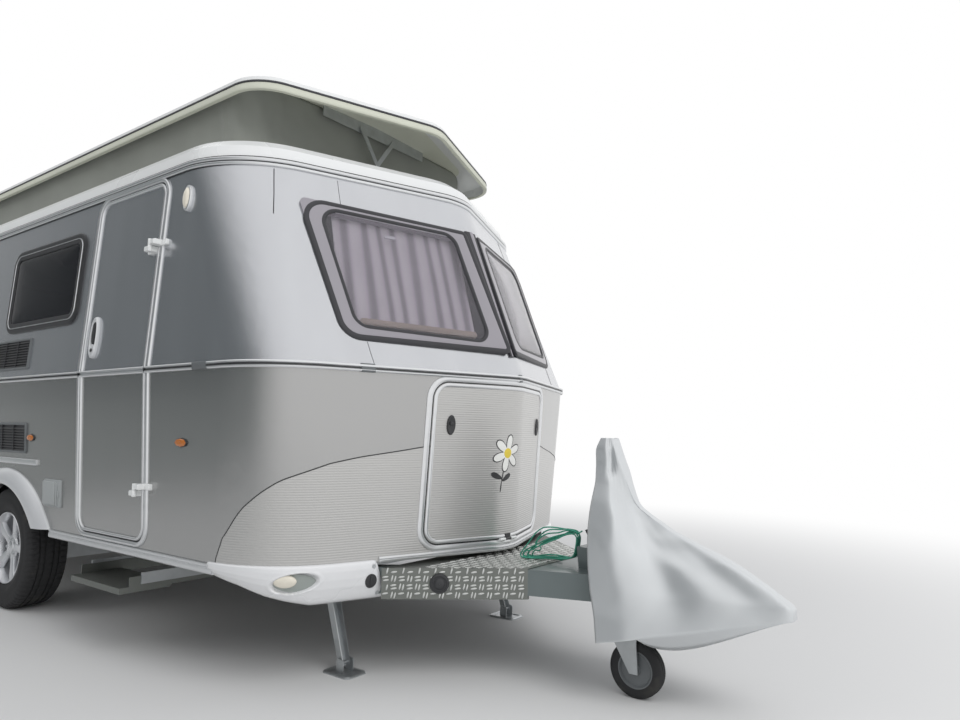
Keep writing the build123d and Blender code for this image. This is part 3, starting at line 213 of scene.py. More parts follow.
buildWorld()
buildFloor()
areaLight("keyLight", studio["keyPower"], studio["keyPlace"], (1.0, 0, 1.2), studio["keySize"])
areaLight("fillLight", studio["fillPower"], studio["fillPlace"], (0.0, -0.5, 1.2), studio["fillSize"])
print("camera, floor and lights are in place")


# Finishes: each has a colour that varies a little and a fine bump, both on Object coordinates
def makeFinish(name, color, rough, metallic, coat, tone, grain, stretch=(1, 1, 1), wear=None, sheen=0.0,
               roughSpread=0.12, lower=None, folds=None):
    material, tree, shader = newMaterial(name)
    place = addNode(tree, "TexCoord", {}).outputs["Object"]
    scaled = addNode(tree, "Mapping", {"Vector": place, "Scale": stretch}).outputs[0]
    cloud = addNode(tree, "TexNoise", {"Vector": scaled, "Scale": tone[0], "Detail": 4}).outputs["Fac"]
    dark, light = (tuple(min(1, c * (1 + way * tone[1])) for c in color) for way in (-1, 1))
    result = blendColors(tree, dark, light, cloud)
    if wear:
        patches = addNode(tree, "TexNoise", {"Vector": place, "Scale": wear[0], "Detail": 8}).outputs["Fac"]
        inputs = {"Value": patches, "From Min": wear[1], "From Max": wear[1] + 0.15}
        result = blendColors(tree, result, wear[2], addNode(tree, "MapRange", inputs).outputs["Result"])
    # Painted shade: below the height given in lower the colour turns to a darker grey, so the lower walls
    # look shaded
    if lower:
        height = addNode(tree, "SeparateXYZ", {0: place}).outputs["Z"]
        result = blendColors(tree, result, lower[1], riseBetween(tree, height, lower[0], lower[0] - 0.01))
    # Painted shade: a curtain's colour turns to the darker folds grey where the pleat shade mask is low, in
    # the pleats' hollows
    if folds:
        paintedPleatShade = addNode(tree, "Attribute", {}, attribute_name="pleatShadeMask").outputs["Fac"]
        result = blendColors(tree, folds, result, riseBetween(tree, paintedPleatShade, 0.0, 1.0))
    inputs = {"Value": cloud, "To Min": rough * (1 - roughSpread), "To Max": rough * (1 + roughSpread)}
    spread = addNode(tree, "MapRange", inputs).outputs["Result"]
    fine = addNode(tree, "TexNoise", {"Vector": scaled, "Scale": grain[0], "Detail": 3}).outputs["Fac"]
    inputs = {"Height": fine, "Strength": grain[1], "Distance": grain[2]}
    bump = addNode(tree, "Bump", inputs).outputs["Normal"]
    for key, value in (("Base Color", result), ("Roughness", spread), ("Normal", bump),
                       ("Metallic", metallic), ("Coat Weight", coat), ("Coat Roughness", 0.06),
                       ("Sheen Weight", sheen), ("IOR", 1.5)):
        setInput(tree, shader.inputs[key], value)
    return material


# Columns: colour, roughness, metallic, coat, tone as scale and share, grain as scale, strength and depth
finishTable = {
    "silverPaint": ((0.6, 0.61, 0.635), 0.25, 0.88, 0.3, (1.3, 0.06), (60, 0.08, 0.0006)),
    "whiteGel": ((0.8, 0.81, 0.8), 0.28, 0, 0.3, (0.8, 0.05), (140, 0.04, 0.0005)),
    "silverGel": ((0.66, 0.67, 0.68), 0.32, 0.25, 0.4, (1.5, 0.05), (200, 0.05, 0.0005)),
    "panelViolet": ((0.3, 0.285, 0.31), 0.3, 0.2, 0.3, (2, 0.1), (300, 0.05, 0.0004)),
    "railAlu": ((0.74, 0.75, 0.76), 0.3, 0.85, 0, (6, 0.08), (90, 0.1, 0.0004)),
    "boardGrey": ((0.2, 0.19, 0.18), 0.8, 0, 0, (5, 0.25), (120, 0.4, 0.001)),
    "blackPlastic": ((0.035, 0.036, 0.038), 0.45, 0, 0, (6, 0.3), (500, 0.3, 0.0005)),
    "zinc": ((0.5, 0.52, 0.53), 0.42, 0.85, 0, (18, 0.22), (160, 0.2, 0.0004)),
    "greySteel": ((0.16, 0.19, 0.19), 0.42, 0.3, 0.2, (5, 0.15), (260, 0.2, 0.0005)),
    "alloySilver": ((0.66, 0.67, 0.69), 0.28, 0.8, 0.4, (8, 0.06), (400, 0.08, 0.0003)),
    "rubber": ((0.022, 0.022, 0.023), 0.72, 0, 0, (20, 0.35), (700, 0.4, 0.0006)),
    "canvas": ((0.26, 0.27, 0.24), 0.85, 0, 0, (3, 0.14), (900, 0.5, 0.0006)),
    "coverCloth": ((0.66, 0.68, 0.69), 0.36, 0.62, 0, (3.5, 0.08), (1100, 0.35, 0.0005)),
    "curtainCloth": ((0.8, 0.77, 0.76), 0.9, 0, 0, (5, 0.1), (1200, 0.4, 0.0005)),
    "amberLens": ((0.5, 0.15, 0.02), 0.18, 0, 0.6, (30, 0.2), (500, 0.3, 0.0008)),
    "redLens": ((0.55, 0.03, 0.03), 0.18, 0, 0.6, (30, 0.2), (500, 0.3, 0.0008)),
    "creamLens": ((0.78, 0.73, 0.62), 0.2, 0, 0.5, (25, 0.12), (420, 0.3, 0.0008)),
    "ribbedSilver": ((0.53, 0.525, 0.51), 0.34, 0.55, 0.2, (1.3, 0.05), (260, 0.06, 0.0004)),
    "blackRubber": ((0.03, 0.03, 0.034), 0.48, 0, 0, (8, 0.3), (600, 0.3, 0.0004)),
    "creamLiner": ((0.62, 0.63, 0.53), 0.55, 0, 0, (1.6, 0.08), (300, 0.15, 0.0005)),
    "decalWhite": ((0.86, 0.86, 0.82), 0.35, 0, 0, (9, 0.04), (300, 0.05, 0.0003)),
    "decalYellow": ((0.8, 0.62, 0.06), 0.35, 0, 0, (9, 0.06), (300, 0.05, 0.0003)),
    "plateAlu": ((0.2, 0.21, 0.195), 0.4, 0.8, 0, (9, 0.2), (220, 0.25, 0.0004)),
    "plateBars": ((0.66, 0.67, 0.65), 0.28, 0.85, 0, (25, 0.15), (500, 0.1, 0.0003)),
    "beigeTrim": ((0.52, 0.44, 0.33), 0.5, 0, 0, (6, 0.12), (300, 0.2, 0.0004)),
    "bumperWhite": ((0.76, 0.765, 0.77), 0.27, 0.12, 0.5, (1.5, 0.04), (200, 0.04, 0.0004)),
    "wellGreen": ((0.34, 0.37, 0.35), 0.4, 0.2, 0, (6, 0.12), (300, 0.15, 0.0004)),
    "inletGrey": ((0.36, 0.38, 0.38), 0.45, 0, 0, (6, 0.1), (400, 0.15, 0.0004)),
    "ventGrey": ((0.14, 0.15, 0.155), 0.5, 0, 0, (5, 0.15), (500, 0.2, 0.0004)),
    "rope": ((0.07, 0.38, 0.26), 0.6, 0, 0, (40, 0.35), (900, 0.6, 0.0008)),
}
finishExtras = {
    # silverPaint: the lower entry paints shade, a darker grey on the walls below the waist rail
    "silverPaint": {"stretch": (6, 6, 0.4), "lower": (1.172, (0.43, 0.43, 0.425))},
    "railAlu": {"stretch": (0.3, 0.3, 6)},
    "zinc": {"roughSpread": 0.35},
    "plateAlu": {"roughSpread": 0.3},
    "rubber": {"wear": (9.0, 0.58, (0.055, 0.052, 0.046))},
    "canvas": {"sheen": 0.15},
    "coverCloth": {"sheen": 0.1},
    # curtainCloth: the folds colour is painted shade for the pleats' hollows
    "curtainCloth": {"sheen": 0.3, "folds": (0.34, 0.32, 0.33)},
}
finishes = {name: makeFinish(name, *row, **finishExtras.get(name, {})) for name, row in finishTable.items()}


def makeGlass(name, color):
    # A tinted acrylic sheet that lets what hangs behind it show
    material, tree, shader = newMaterial(name)
    place = addNode(tree, "TexCoord", {}).outputs["Object"]
    haze = addNode(tree, "TexNoise", {"Vector": place, "Scale": 5}).outputs["Fac"]
    spread = addNode(tree, "MapRange", {"Value": haze, "To Min": 0.03, "To Max": 0.14}).outputs["Result"]
    for key, value in (("Base Color", color), ("Transmission Weight", 0.92), ("IOR", 1.25),
                       ("Roughness", spread)):
        setInput(tree, shader.inputs[key], value)
    return material


finishes["tintedPane"] = makeGlass("tintedPane", (0.68, 0.66, 0.71))
finishes["darkPane"] = makeGlass("darkPane", (0.16, 0.16, 0.18))

nodeFinish = {
    "silverPaint": ["front_lower_wall", "rear_lower_wall", "front_upper_wall", "rear_upper_wall",
                    "right_wall", "left_wall", "door", "locker_flap"],
    "whiteGel": ["roof", "lid", "awning_lamp"],
    "silverGel": ["bumpers", "arch_flares"],
    "panelViolet": ["window_frames"],
    "tintedPane": ["window_panes"],
    "railAlu": ["waist_rail", "gutter_rail", "sill_rails", "door_fittings", "body_hinges", "door_handle"],
    "plateAlu": ["tray", "step"],
    "boardGrey": ["floor", "locker_box"],
    "blackPlastic": ["wheel_boxes", "locker_fittings", "handbrake"],
    "zinc": ["chassis", "axle", "steady_front_right", "steady_front_left", "steady_rear_right",
             "steady_rear_left", "jockey_clamp", "jockey_tube", "jockey_fork", "deck_rails", "lid_rails",
             "scissor_front_a", "scissor_front_b", "scissor_rear_a", "scissor_rear_b"],
    "greySteel": ["drawbar", "coupling"],
    "alloySilver": ["wheel_right", "wheel_left"],
    "rubber": ["tyre_right", "tyre_left", "jockey_wheel"],
    "canvas": ["canvas"],
    "coverCloth": ["hitch_cover"],
    "curtainCloth": ["curtains"],
    "ventGrey": ["side_hatches"],
    "amberLens": ["reflectors"],
    "redLens": ["tail_lamps"],
    "rope": ["rope_hank"],
}
for finish, names in nodeFinish.items():
    for name in names:
        nodes[name].data.materials.clear()
        nodes[name].data.materials.append(finishes[finish])
print("the frame's nodes are dressed")


# Shapes: everything is a grid of points with quads between them
def gridFaces(rows, cols, loopRows=False, loopCols=False):
    r = np.arange(rows if loopRows else rows - 1)[:, None]
    c = np.arange(cols if loopCols else cols - 1)[None, :]
    below, right = (r + 1) % rows, (c + 1) % cols
    corners = (r * cols + c, r * cols + right, below * cols + right, below * cols + c)
    return np.stack(np.broadcast_arrays(*corners), -1).reshape(-1, 4)


def joinParts(parts):
    points, faces, start = [], [], 0
    for p, f in parts:
        p = np.asarray(p, float).reshape(-1, 3)
        points.append(p)
        faces += [[int(i) + start for i in face] for face in f]
        start += len(p)
    return np.concatenate(points), faces


def makePiece(name, points, faces, finish, body="caravan", sharp=35, weld=0.0):
    mesh = bpy.data.meshes.new(name + "Mesh")
    faces = faces.tolist() if isinstance(faces, np.ndarray) else faces
    mesh.from_pydata(np.asarray(points, float).reshape(-1, 3).tolist(), [], faces)
    shape = bmesh.new()
    shape.from_mesh(mesh)
    if weld:
        bmesh.ops.remove_doubles(shape, verts=shape.verts, dist=weld)
    bmesh.ops.recalc_face_normals(shape, faces=shape.faces)
    shape.to_mesh(mesh)
    shape.free()
    mesh.materials.append(finishes[finish])
    mesh.shade_smooth()
    mesh.set_sharp_from_angle(angle=math.radians(sharp))
    piece = bpy.data.objects.new(name, mesh)
    bpy.context.scene.collection.objects.link(piece)
    if body:
        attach(piece, body)
    return piece


def ringBand(loops):
    # Loops of equal count around a profile: closed both ways, like a gasket
    loops = np.asarray(loops, float)
    return loops.reshape(-1, 3), gridFaces(loops.shape[0], loops.shape[1], True, True)


def capped(loops):
    # Loops stacked from one end to the other, with a face across each end
    loops = np.asarray(loops, float)
    k, n = loops.shape[:2]
    ends = [list(range(n))[::-1], list(range((k - 1) * n, k * n))]
    return loops.reshape(-1, 3), gridFaces(k, n, False, True).tolist() + ends


def slab(front, back):
    # Two grids face to face with their rims joined
    rows, cols = front.shape[:2]
    n = rows * cols
    faces = gridFaces(rows, cols)
    r, c = np.arange(rows), np.arange(cols)
    rim = np.concatenate((c, r[1:] * cols + cols - 1, (rows - 1) * cols + c[-2::-1], r[-2:0:-1] * cols))
    nextRim = np.roll(rim, -1)
    sides = np.stack((rim, nextRim, nextRim + n, rim + n), -1)
    points = np.concatenate((front.reshape(-1, 3), back.reshape(-1, 3)))
    return points, np.concatenate((faces, faces[:, ::-1] + n, sides))


def roundLoop(corners, radius, inset=0.0, arc=7, side=1):
    # A polygon, anticlockwise, its edges moved in by the inset and its corners rounded
    p = np.asarray(corners, float)
    ahead, behind = np.roll(p, -1, 0) - p, p - np.roll(p, 1, 0)
    ahead /= np.linalg.norm(ahead, axis=1, keepdims=True)
    behind /= np.linalg.norm(behind, axis=1, keepdims=True)
    inA, inB = np.stack((-ahead[:, 1], ahead[:, 0]), 1), np.stack((-behind[:, 1], behind[:, 0]), 1)
    q = p + inset * (inA + inB) / (1 + (inA * inB).sum(1))[:, None]
    r = np.maximum(np.broadcast_to(np.asarray(radius, float), len(p)) - inset, 0.0004)
    turn = np.arctan2(behind[:, 0] * ahead[:, 1] - behind[:, 1] * ahead[:, 0], (behind * ahead).sum(1))
    middle = q - behind * (r * np.tan(turn / 2))[:, None] + inB * r[:, None]
    start = np.arctan2(-inB[:, 1], -inB[:, 0])
    a = start[:, None] + turn[:, None] * np.linspace(0, 1, arc + 1)
    arcs = middle[:, None] + r[:, None, None] * np.stack((np.cos(a), np.sin(a)), -1)
    share = np.arange(1, side)[None, :, None] / side
    links = arcs[:, -1:] * (1 - share) + np.roll(arcs[:, :1], -1, 0) * share
    return np.concatenate((arcs, links), 1).reshape(-1, 2)


def tubeAlong(path, radius, sides=10):
    # A round tube with closed ends, its cross-section carried along without twisting
    path = np.asarray(path, float)
    ahead = np.gradient(path, axis=0)
    ahead /= np.linalg.norm(ahead, axis=1, keepdims=True)
    across = np.cross(ahead[0], (0, 0, 1) if abs(ahead[0][2]) < 0.9 else (1, 0, 0))
    a = np.linspace(0, 2 * math.pi, sides, endpoint=False)
    rings = []
    for point, forward in zip(path, ahead):
        across = across - forward * (across @ forward)
        across /= np.linalg.norm(across)
        up = np.cross(forward, across)
        rings.append(point + radius * (np.cos(a)[:, None] * across + np.sin(a)[:, None] * up))
    return capped(rings)


def lathe(profile, origin, axis, steps=48):
    # A closed profile of (distance, height) turned about an axis
    profile = np.asarray(profile, float)
    axis = np.asarray(axis, float) / np.linalg.norm(axis)
    side = np.cross(axis, (0, 0, 1) if abs(axis[2]) < 0.9 else (1, 0, 0))
    side /= np.linalg.norm(side)
    other = np.cross(axis, side)
    a = np.linspace(0, 2 * math.pi, steps, endpoint=False)[:, None]
    spokes = np.cos(a) * side + np.sin(a) * other
    rings = np.asarray(origin) + profile[None, :, :1] * spokes[:, None] + profile[None, :, 1:] * axis
    return ringBand(rings)


def sheetArea(grid):
    a, b = np.diff(grid[:, :-1], axis=0), np.diff(grid[:-1], axis=1)
    return float(np.linalg.norm(np.cross(a, b), axis=-1).sum())


def thicken(piece, thickness, offset=-1.0):
    cloth = piece.modifiers.new("thickness", "SOLIDIFY")
    cloth.thickness = thickness
    cloth.offset = offset


# The body's outer skin. Rows: height, half width, setback, angle of the V, corner radius, nose radius
ringRows = np.array([
    (0.444, 1.01, 0.048, 19.6, 0.4, 0.32),
    (1.17, 1.05, 0.0, 19.4, 0.33, 0.22),
    (2.012, 0.998, 0.337, 21.1, 0.43, 0.3),
    (2.088, 0.984, 0.366, 21.0, 0.42, 0.3),
    (2.125, 0.95, 0.425, 20.5, 0.39, 0.28),
])
middleX = (bodyFront + bodyRear) / 2
sillRing = ringRows[0]


def ringPoints(ring, t):
    # Along the outline: nose arc for t 0 to 1, flat to 2, corner arc to 3, side wall to 4 at the middle
    _, half, setback, angle, corner, noseRadius = ring
    v = math.radians(angle)
    front = bodyFront - setback
    along = np.array((-math.sin(v), math.cos(v)))
    hip = np.array((front - half * math.tan(v), half))
    cornerCut = corner * math.tan((math.pi / 2 - v) / 2)
    start = np.array((front, 0.0)) + noseRadius * math.tan(v) * along
    end = hip - cornerCut * along
    t = np.asarray(t, float)[..., None]
    a = v * np.clip(t, -1, 1)
    noseMiddle = np.array((front - noseRadius / math.cos(v), 0.0))
    noseArc = noseMiddle + noseRadius * np.concatenate((np.cos(a), np.sin(a)), -1)
    flat = start + (end - start) * np.clip(t - 1, 0, 1)
    b = v + (math.pi / 2 - v) * np.clip(t - 2, 0, 1)
    middle = np.array((hip[0] - cornerCut, half - corner))
    cornerArc = middle + corner * np.concatenate((np.cos(b), np.sin(b)), -1)
    sideStart = np.array((hip[0] - cornerCut, half))
    wall = sideStart + (np.array((middleX, half)) - sideStart) * (t - 3)
    return np.where(t < 1, noseArc, np.where(t < 2, flat, np.where(t < 3, cornerArc, wall)))


def skinFlat(t, z):
    z = np.asarray(z, float)
    last = len(ringRows) - 2
    total = np.zeros(np.broadcast(t, z).shape + (2,))
    for i in range(last + 1):
        low, high = ringRows[i], ringRows[i + 1]
        share = ((z - low[0]) / (high[0] - low[0]))[..., None]
        here = ringPoints(low, t) * (1 - share) + ringPoints(high, t) * share
        total = np.where((z >= low[0])[..., None] | (i == 0), here, total)
    return total


def skin(t, z, out=0.0, side=rightSide, end=1):
    # A point of the skin and how far it stands out; side picks left or right, end the front or the rear
    t, z, out = np.broadcast_arrays(*(np.asarray(v, float) for v in (t, z, out)))
    step = 0.0002
    alongT = skinFlat(t + step, z) - skinFlat(t - step, z)
    upper = np.minimum(z + step, ringRows[-1][0])
    alongZ = skinFlat(t, upper) - skinFlat(t, upper - step)
    flat = np.zeros(t.shape + (1,))
    normal = np.cross(np.concatenate((alongT, flat), -1), np.concatenate((alongZ, flat + step), -1))
    normal /= np.linalg.norm(normal, axis=-1, keepdims=True)
    p = np.concatenate((skinFlat(t, z), z[..., None]), -1) + normal * out[..., None]
    p[..., 0] = np.where(end > 0, p[..., 0], 2 * middleX - p[..., 0])
    p[..., 1] *= side
    return p


def tAtY(y, z):
    # The outline's t for a distance from the middle plane, between the nose and the corner
    y, z = np.broadcast_arrays(np.abs(np.asarray(y, float)), np.asarray(z, float))
    t = np.full(y.shape, 1.5)
    for _ in range(8):
        here = skinFlat(t, z)[..., 1]
        rate = (skinFlat(t + 0.001, z)[..., 1] - here) / 0.001
        t = np.clip(t + (y - here) / rate, 0.0, 2.85)
    return t


def nose(y, z, out=0.0, end=1):
    y = np.asarray(y, float)
    p = skin(tAtY(y, z), z, out, 1, end)
    p[..., 1] *= np.where(y < 0, -1, 1)
    return p


def wallAt(x, z, out=0.0, side=rightSide):
    # On the flat side walls, by distance along the caravan
    x, z, out = np.broadcast_arrays(*(np.asarray(v, float) for v in (x, z, out)))
    y = np.interp(z, ringRows[:, 0], ringRows[:, 1])
    return np.stack((x, side * (y + out), z), -1)


# The flat of each end's upper wall, with directions towards the middle, up and outward
def flatEnd(ring):
    x = bodyFront - ring[2] - math.tan(math.radians(ring[3])) * flatMiddle
    return np.array((x, -flatMiddle, ring[0]))


flatMiddle = 0.39
flatLow, flatHigh = flatEnd(ringRows[1]), flatEnd(ringRows[2])
flatAngle = math.radians((ringRows[1][3] + ringRows[2][3]) / 2)
flatAlong = np.array((math.sin(flatAngle), math.cos(flatAngle), 0))
flatOut = np.cross(flatAlong, flatHigh - flatLow)
flatOut /= np.linalg.norm(flatOut)
flatUp = np.cross(flatOut, flatAlong)
flatOrigin = (flatLow + flatHigh) / 2


def flatCorner(y, z):
    # The flat's own two coordinates of the point with this y and z
    x = flatOrigin[0] - (flatOut[1] * (y - flatOrigin[1]) + flatOut[2] * (z - flatOrigin[2])) / flatOut[0]
    p = np.array((x, y, z)) - flatOrigin
    return float(p @ flatAlong), float(p @ flatUp)


def onFlat(uv, out=0.0, side=rightSide, end=1):
    uv = np.asarray(uv, float)
    out = np.asarray(out, float)[..., None]
    p = flatOrigin + uv[..., :1] * flatAlong + uv[..., 1:2] * flatUp + out * flatOut
    p[..., 0] = np.where(end > 0, p[..., 0], 2 * middleX - p[..., 0])
    p[..., 1] *= -side
    return p


fourEnds = [("FrontRight", rightSide, 1), ("FrontLeft", leftSide, 1), ("RearRight", rightSide, -1),
            ("RearLeft", leftSide, -1)]


def onWall(side):
    return lambda x, z, out: wallAt(x, z, out, side)


onRight = onWall(rightSide)


# Parts on a surface: place takes the surface's two coordinates and how far out
def boxAt(x0, x1, z0, z1):
    return ((x0, z0), (x1, z0), (x1, z1), (x0, z1))


def loopsOn(place, corners, radius, rows, arc, side=1):
    # Rows: inset from the outline, how far out
    loops = []
    for inset, out in rows:
        line = roundLoop(corners, radius, inset, arc, side)
        loops.append(place(*line.T, np.full(len(line), out)))
    return loops


def plate(place, corners, radius, rows, arc=6):
    return capped(loopsOn(place, corners, radius, rows, arc))


def oval(place, middle, half, levels, count=48, power=2.0):
    # Levels: share of the oval's size, how far out
    a = np.linspace(0, 2 * math.pi, count, endpoint=False)
    c, s = np.cos(a), np.sin(a)
    c, s = np.sign(c) * np.abs(c) ** (2 / power), np.sign(s) * np.abs(s) ** (2 / power)
    return capped([place(middle[0] + half[0] * k * c, middle[1] + half[1] * k * s, np.full(count, out))
                   for k, out in levels])


def noseSheet(y, z, out, back=-0.001, end=1):
    return slab(nose(y, z, out, end), nose(y, z, back, end))


def crossPin(x, y, z, half, radius, sides):
    return tubeAlong([(x, y + d, z) for d in (-half, 0, half)], radius, sides)


def mirrored(half):
    return [(a, -b) for a, b in half] + [(a, b) for a, b in half[::-1]]


# Rope hank
rope = {
    "diameter": 0.0055,
    "turns": 7,
    "laneGather": 0.006,
    "laneTip": 0.0098,
    "middleY": -0.0165,
    "waver": 0.0022,
    "lean": (0.0, 1.0, 0.3, 0.8, 0.12, 0.62, 0.92),
    "shift": (0.0, 0.01, 0.022, -0.003, 0.013, 0.03, 0.004),
    "lift": (0.0, 0.006, 0.0015, 0.012, 0.003, 0.009, 0.0),
}


def buildRope():
    # Each turn leaves the lever, runs out over the top, folds at the tip on the tray and comes back below.
    # Columns: distance ahead of the body's nose and height, on a tall turn and on a low one
    tall = np.array((
        (0.2935, 0.53), (0.2945, 0.544), (0.289, 0.555), (0.278, 0.559), (0.26, 0.5605), (0.235, 0.562),
        (0.205, 0.564), (0.172, 0.564), (0.146, 0.56), (0.125, 0.548), (0.107, 0.533), (0.092, 0.515),
        (0.078, 0.496), (0.064, 0.477), (0.052, 0.462), (0.043, 0.45), (0.0385, 0.44), (0.044, 0.4325),
        (0.056, 0.4315)))
    low = np.array((
        (0.29, 0.52), (0.2905, 0.533), (0.283, 0.543), (0.271, 0.545), (0.254, 0.542), (0.232, 0.535),
        (0.208, 0.526), (0.184, 0.516), (0.162, 0.506), (0.14, 0.496), (0.119, 0.487), (0.1, 0.479),
        (0.082, 0.471), (0.065, 0.464), (0.05, 0.457), (0.039, 0.449), (0.035, 0.439), (0.041, 0.432),
        (0.054, 0.4315)))
    back = np.array((
        (0.075, 0.4315), (0.098, 0.4325), (0.124, 0.435), (0.152, 0.438), (0.18, 0.4405), (0.206, 0.4425),
        (0.23, 0.444), (0.25, 0.446), (0.266, 0.451), (0.276, 0.46), (0.281, 0.473), (0.284, 0.488),
        (0.287, 0.503), (0.289, 0.514)))
    turns = rope["turns"]
    sets = []
    for k in range(turns):
        lean, shift, lift = (rope[key][k % len(rope[key])] for key in ("lean", "shift", "lift"))
        out = tall * (1 - lean) + low * lean
        out[6:14, 1] -= 0.5 * abs(shift)
        out[12:, 0] += shift
        home = back.copy()
        home[:8, 1] += lift * np.sin(np.linspace(0, math.pi, 8))
        outline = np.concatenate((out, home))
        if k == turns - 1:
            outline = outline[:len(tall) + 6]
            outline[-4:, 1] = (0.433, 0.4318, 0.4312, 0.4312)
        spread = np.clip((0.29 - outline[:, 0]) / 0.25, 0, 1)
        lane = np.full(len(outline), k - (turns - 1) / 2)
        crossing = np.linspace(0, 1, len(home))
        lane[len(tall):] += (crossing**2 * (3 - 2 * crossing))[:len(outline) - len(tall)]
        gap = rope["laneGather"] + (rope["laneTip"] - rope["laneGather"]) * spread
        y = rope["middleY"] + lane * gap
        y += rope["waver"] * np.sin(outline[:, 0] * 38 + outline[:, 1] * 21)
        sets.append(np.column_stack((outline[:, 0] + bodyFront, y, outline[:, 1])))
    # The rope starts at the lever, in the first turn's lane
    lead = np.array([(bodyFront + ahead, sets[0][0, 1], height)
                     for ahead, height in ((0.3185, 0.561), (0.311, 0.556), (0.304, 0.552))])
    sets[0] = sets[0][3:]
    route = np.concatenate([lead] + sets)
    curve = bpy.data.curves.new("ropeCurve", "CURVE")
    curve.dimensions = "3D"
    curve.bevel_depth = rope["diameter"] / 2
    curve.bevel_resolution = 4
    curve.resolution_u = 4
    curve.use_fill_caps = True
    strand = curve.splines.new("NURBS")
    strand.points.add(len(route) - 1)
    strand.points.foreach_set("co", np.column_stack((route, np.ones(len(route)))).ravel())
    strand.order_u = 3
    strand.use_endpoint_u = True
    curve.materials.append(finishes["rope"])
    piece = bpy.data.objects.new("ropeHank", curve)
    bpy.context.scene.collection.objects.link(piece)
    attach(piece, "caravan")
    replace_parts(piece, "rope_hank")


buildRope()


# Cover over the coupling
cover = {
    "thickness": 0.0016,
    "ripple": 0.0007,
    "hemDrop": 0.062,
    "hemLowest": 0.196,
    "folds": (
        (0.07, 0.8, 0.35, 0.29, 0.066, 0.03),
        (0.18, 0.6, 0.62, 0.355, 0.05, 0.014),
        (0.12, 0.7, 0.6, 0.41, 0.022, -0.009),
        (0.045, 0.9, 0.052, 0.77, 0.014, 0.009),
        (0.02, 0.62, 0.18, 0.27, 0.05, -0.006),
    ),
}
coverBack = bodyFront + 0.43
# Columns of the sections: height, back, front, half width behind, half width ahead, middle Y
coverRows = np.array([
    (0.213, 0.05, 0.658, 0.236, 0.046, 0.0),
    (0.3, 0.033, 0.659, 0.218, 0.044, 0.0),
    (0.384, 0.012, 0.659, 0.203, 0.032, -0.006),
    (0.442, 0.002, 0.577, 0.192, 0.026, -0.01),
    (0.494, -0.004, 0.484, 0.182, 0.022, -0.014),
    (0.544, -0.008, 0.366, 0.172, 0.02, -0.018),
    (0.599, -0.01, 0.255, 0.158, 0.02, -0.024),
    (0.65, -0.01, 0.19, 0.138, 0.022, -0.032),
    (0.693, -0.008, 0.146, 0.116, 0.026, -0.042),
    (0.761, -0.004, 0.108, 0.08, 0.03, -0.052),
    (0.832, -0.01, 0.077, 0.054, 0.032, -0.06),
    (0.885, -0.012, 0.06, 0.052, 0.032, -0.062),
    (0.925, 0.004, 0.046, 0.04, 0.028, -0.062),
])


def coverOutline(row, counts):
    _, back, front, half, frontHalf, middleY = row
    shoulder = back + min(0.1, (front - back) / 2)
    corners = np.array(((back, -half), (shoulder, -half), (front, -frontHalf), (front, frontHalf),
                        (shoulder, half), (back, half)))
    parts = [np.linspace(corners[i], corners[i + 1], counts[i], endpoint=False) for i in range(5)]
    line = np.concatenate(parts + [corners[-1:]])
    return line + (0, middleY)


def smoothAlong(grid, times, axis):
    # Repeated averaging with both neighbours; the two ends stay
    grid = np.moveaxis(grid, axis, 0).copy()
    for _ in range(times):
        grid[1:-1] = (grid[:-2] + 2 * grid[1:-1] + grid[2:]) / 4
    return np.moveaxis(grid, 0, axis)


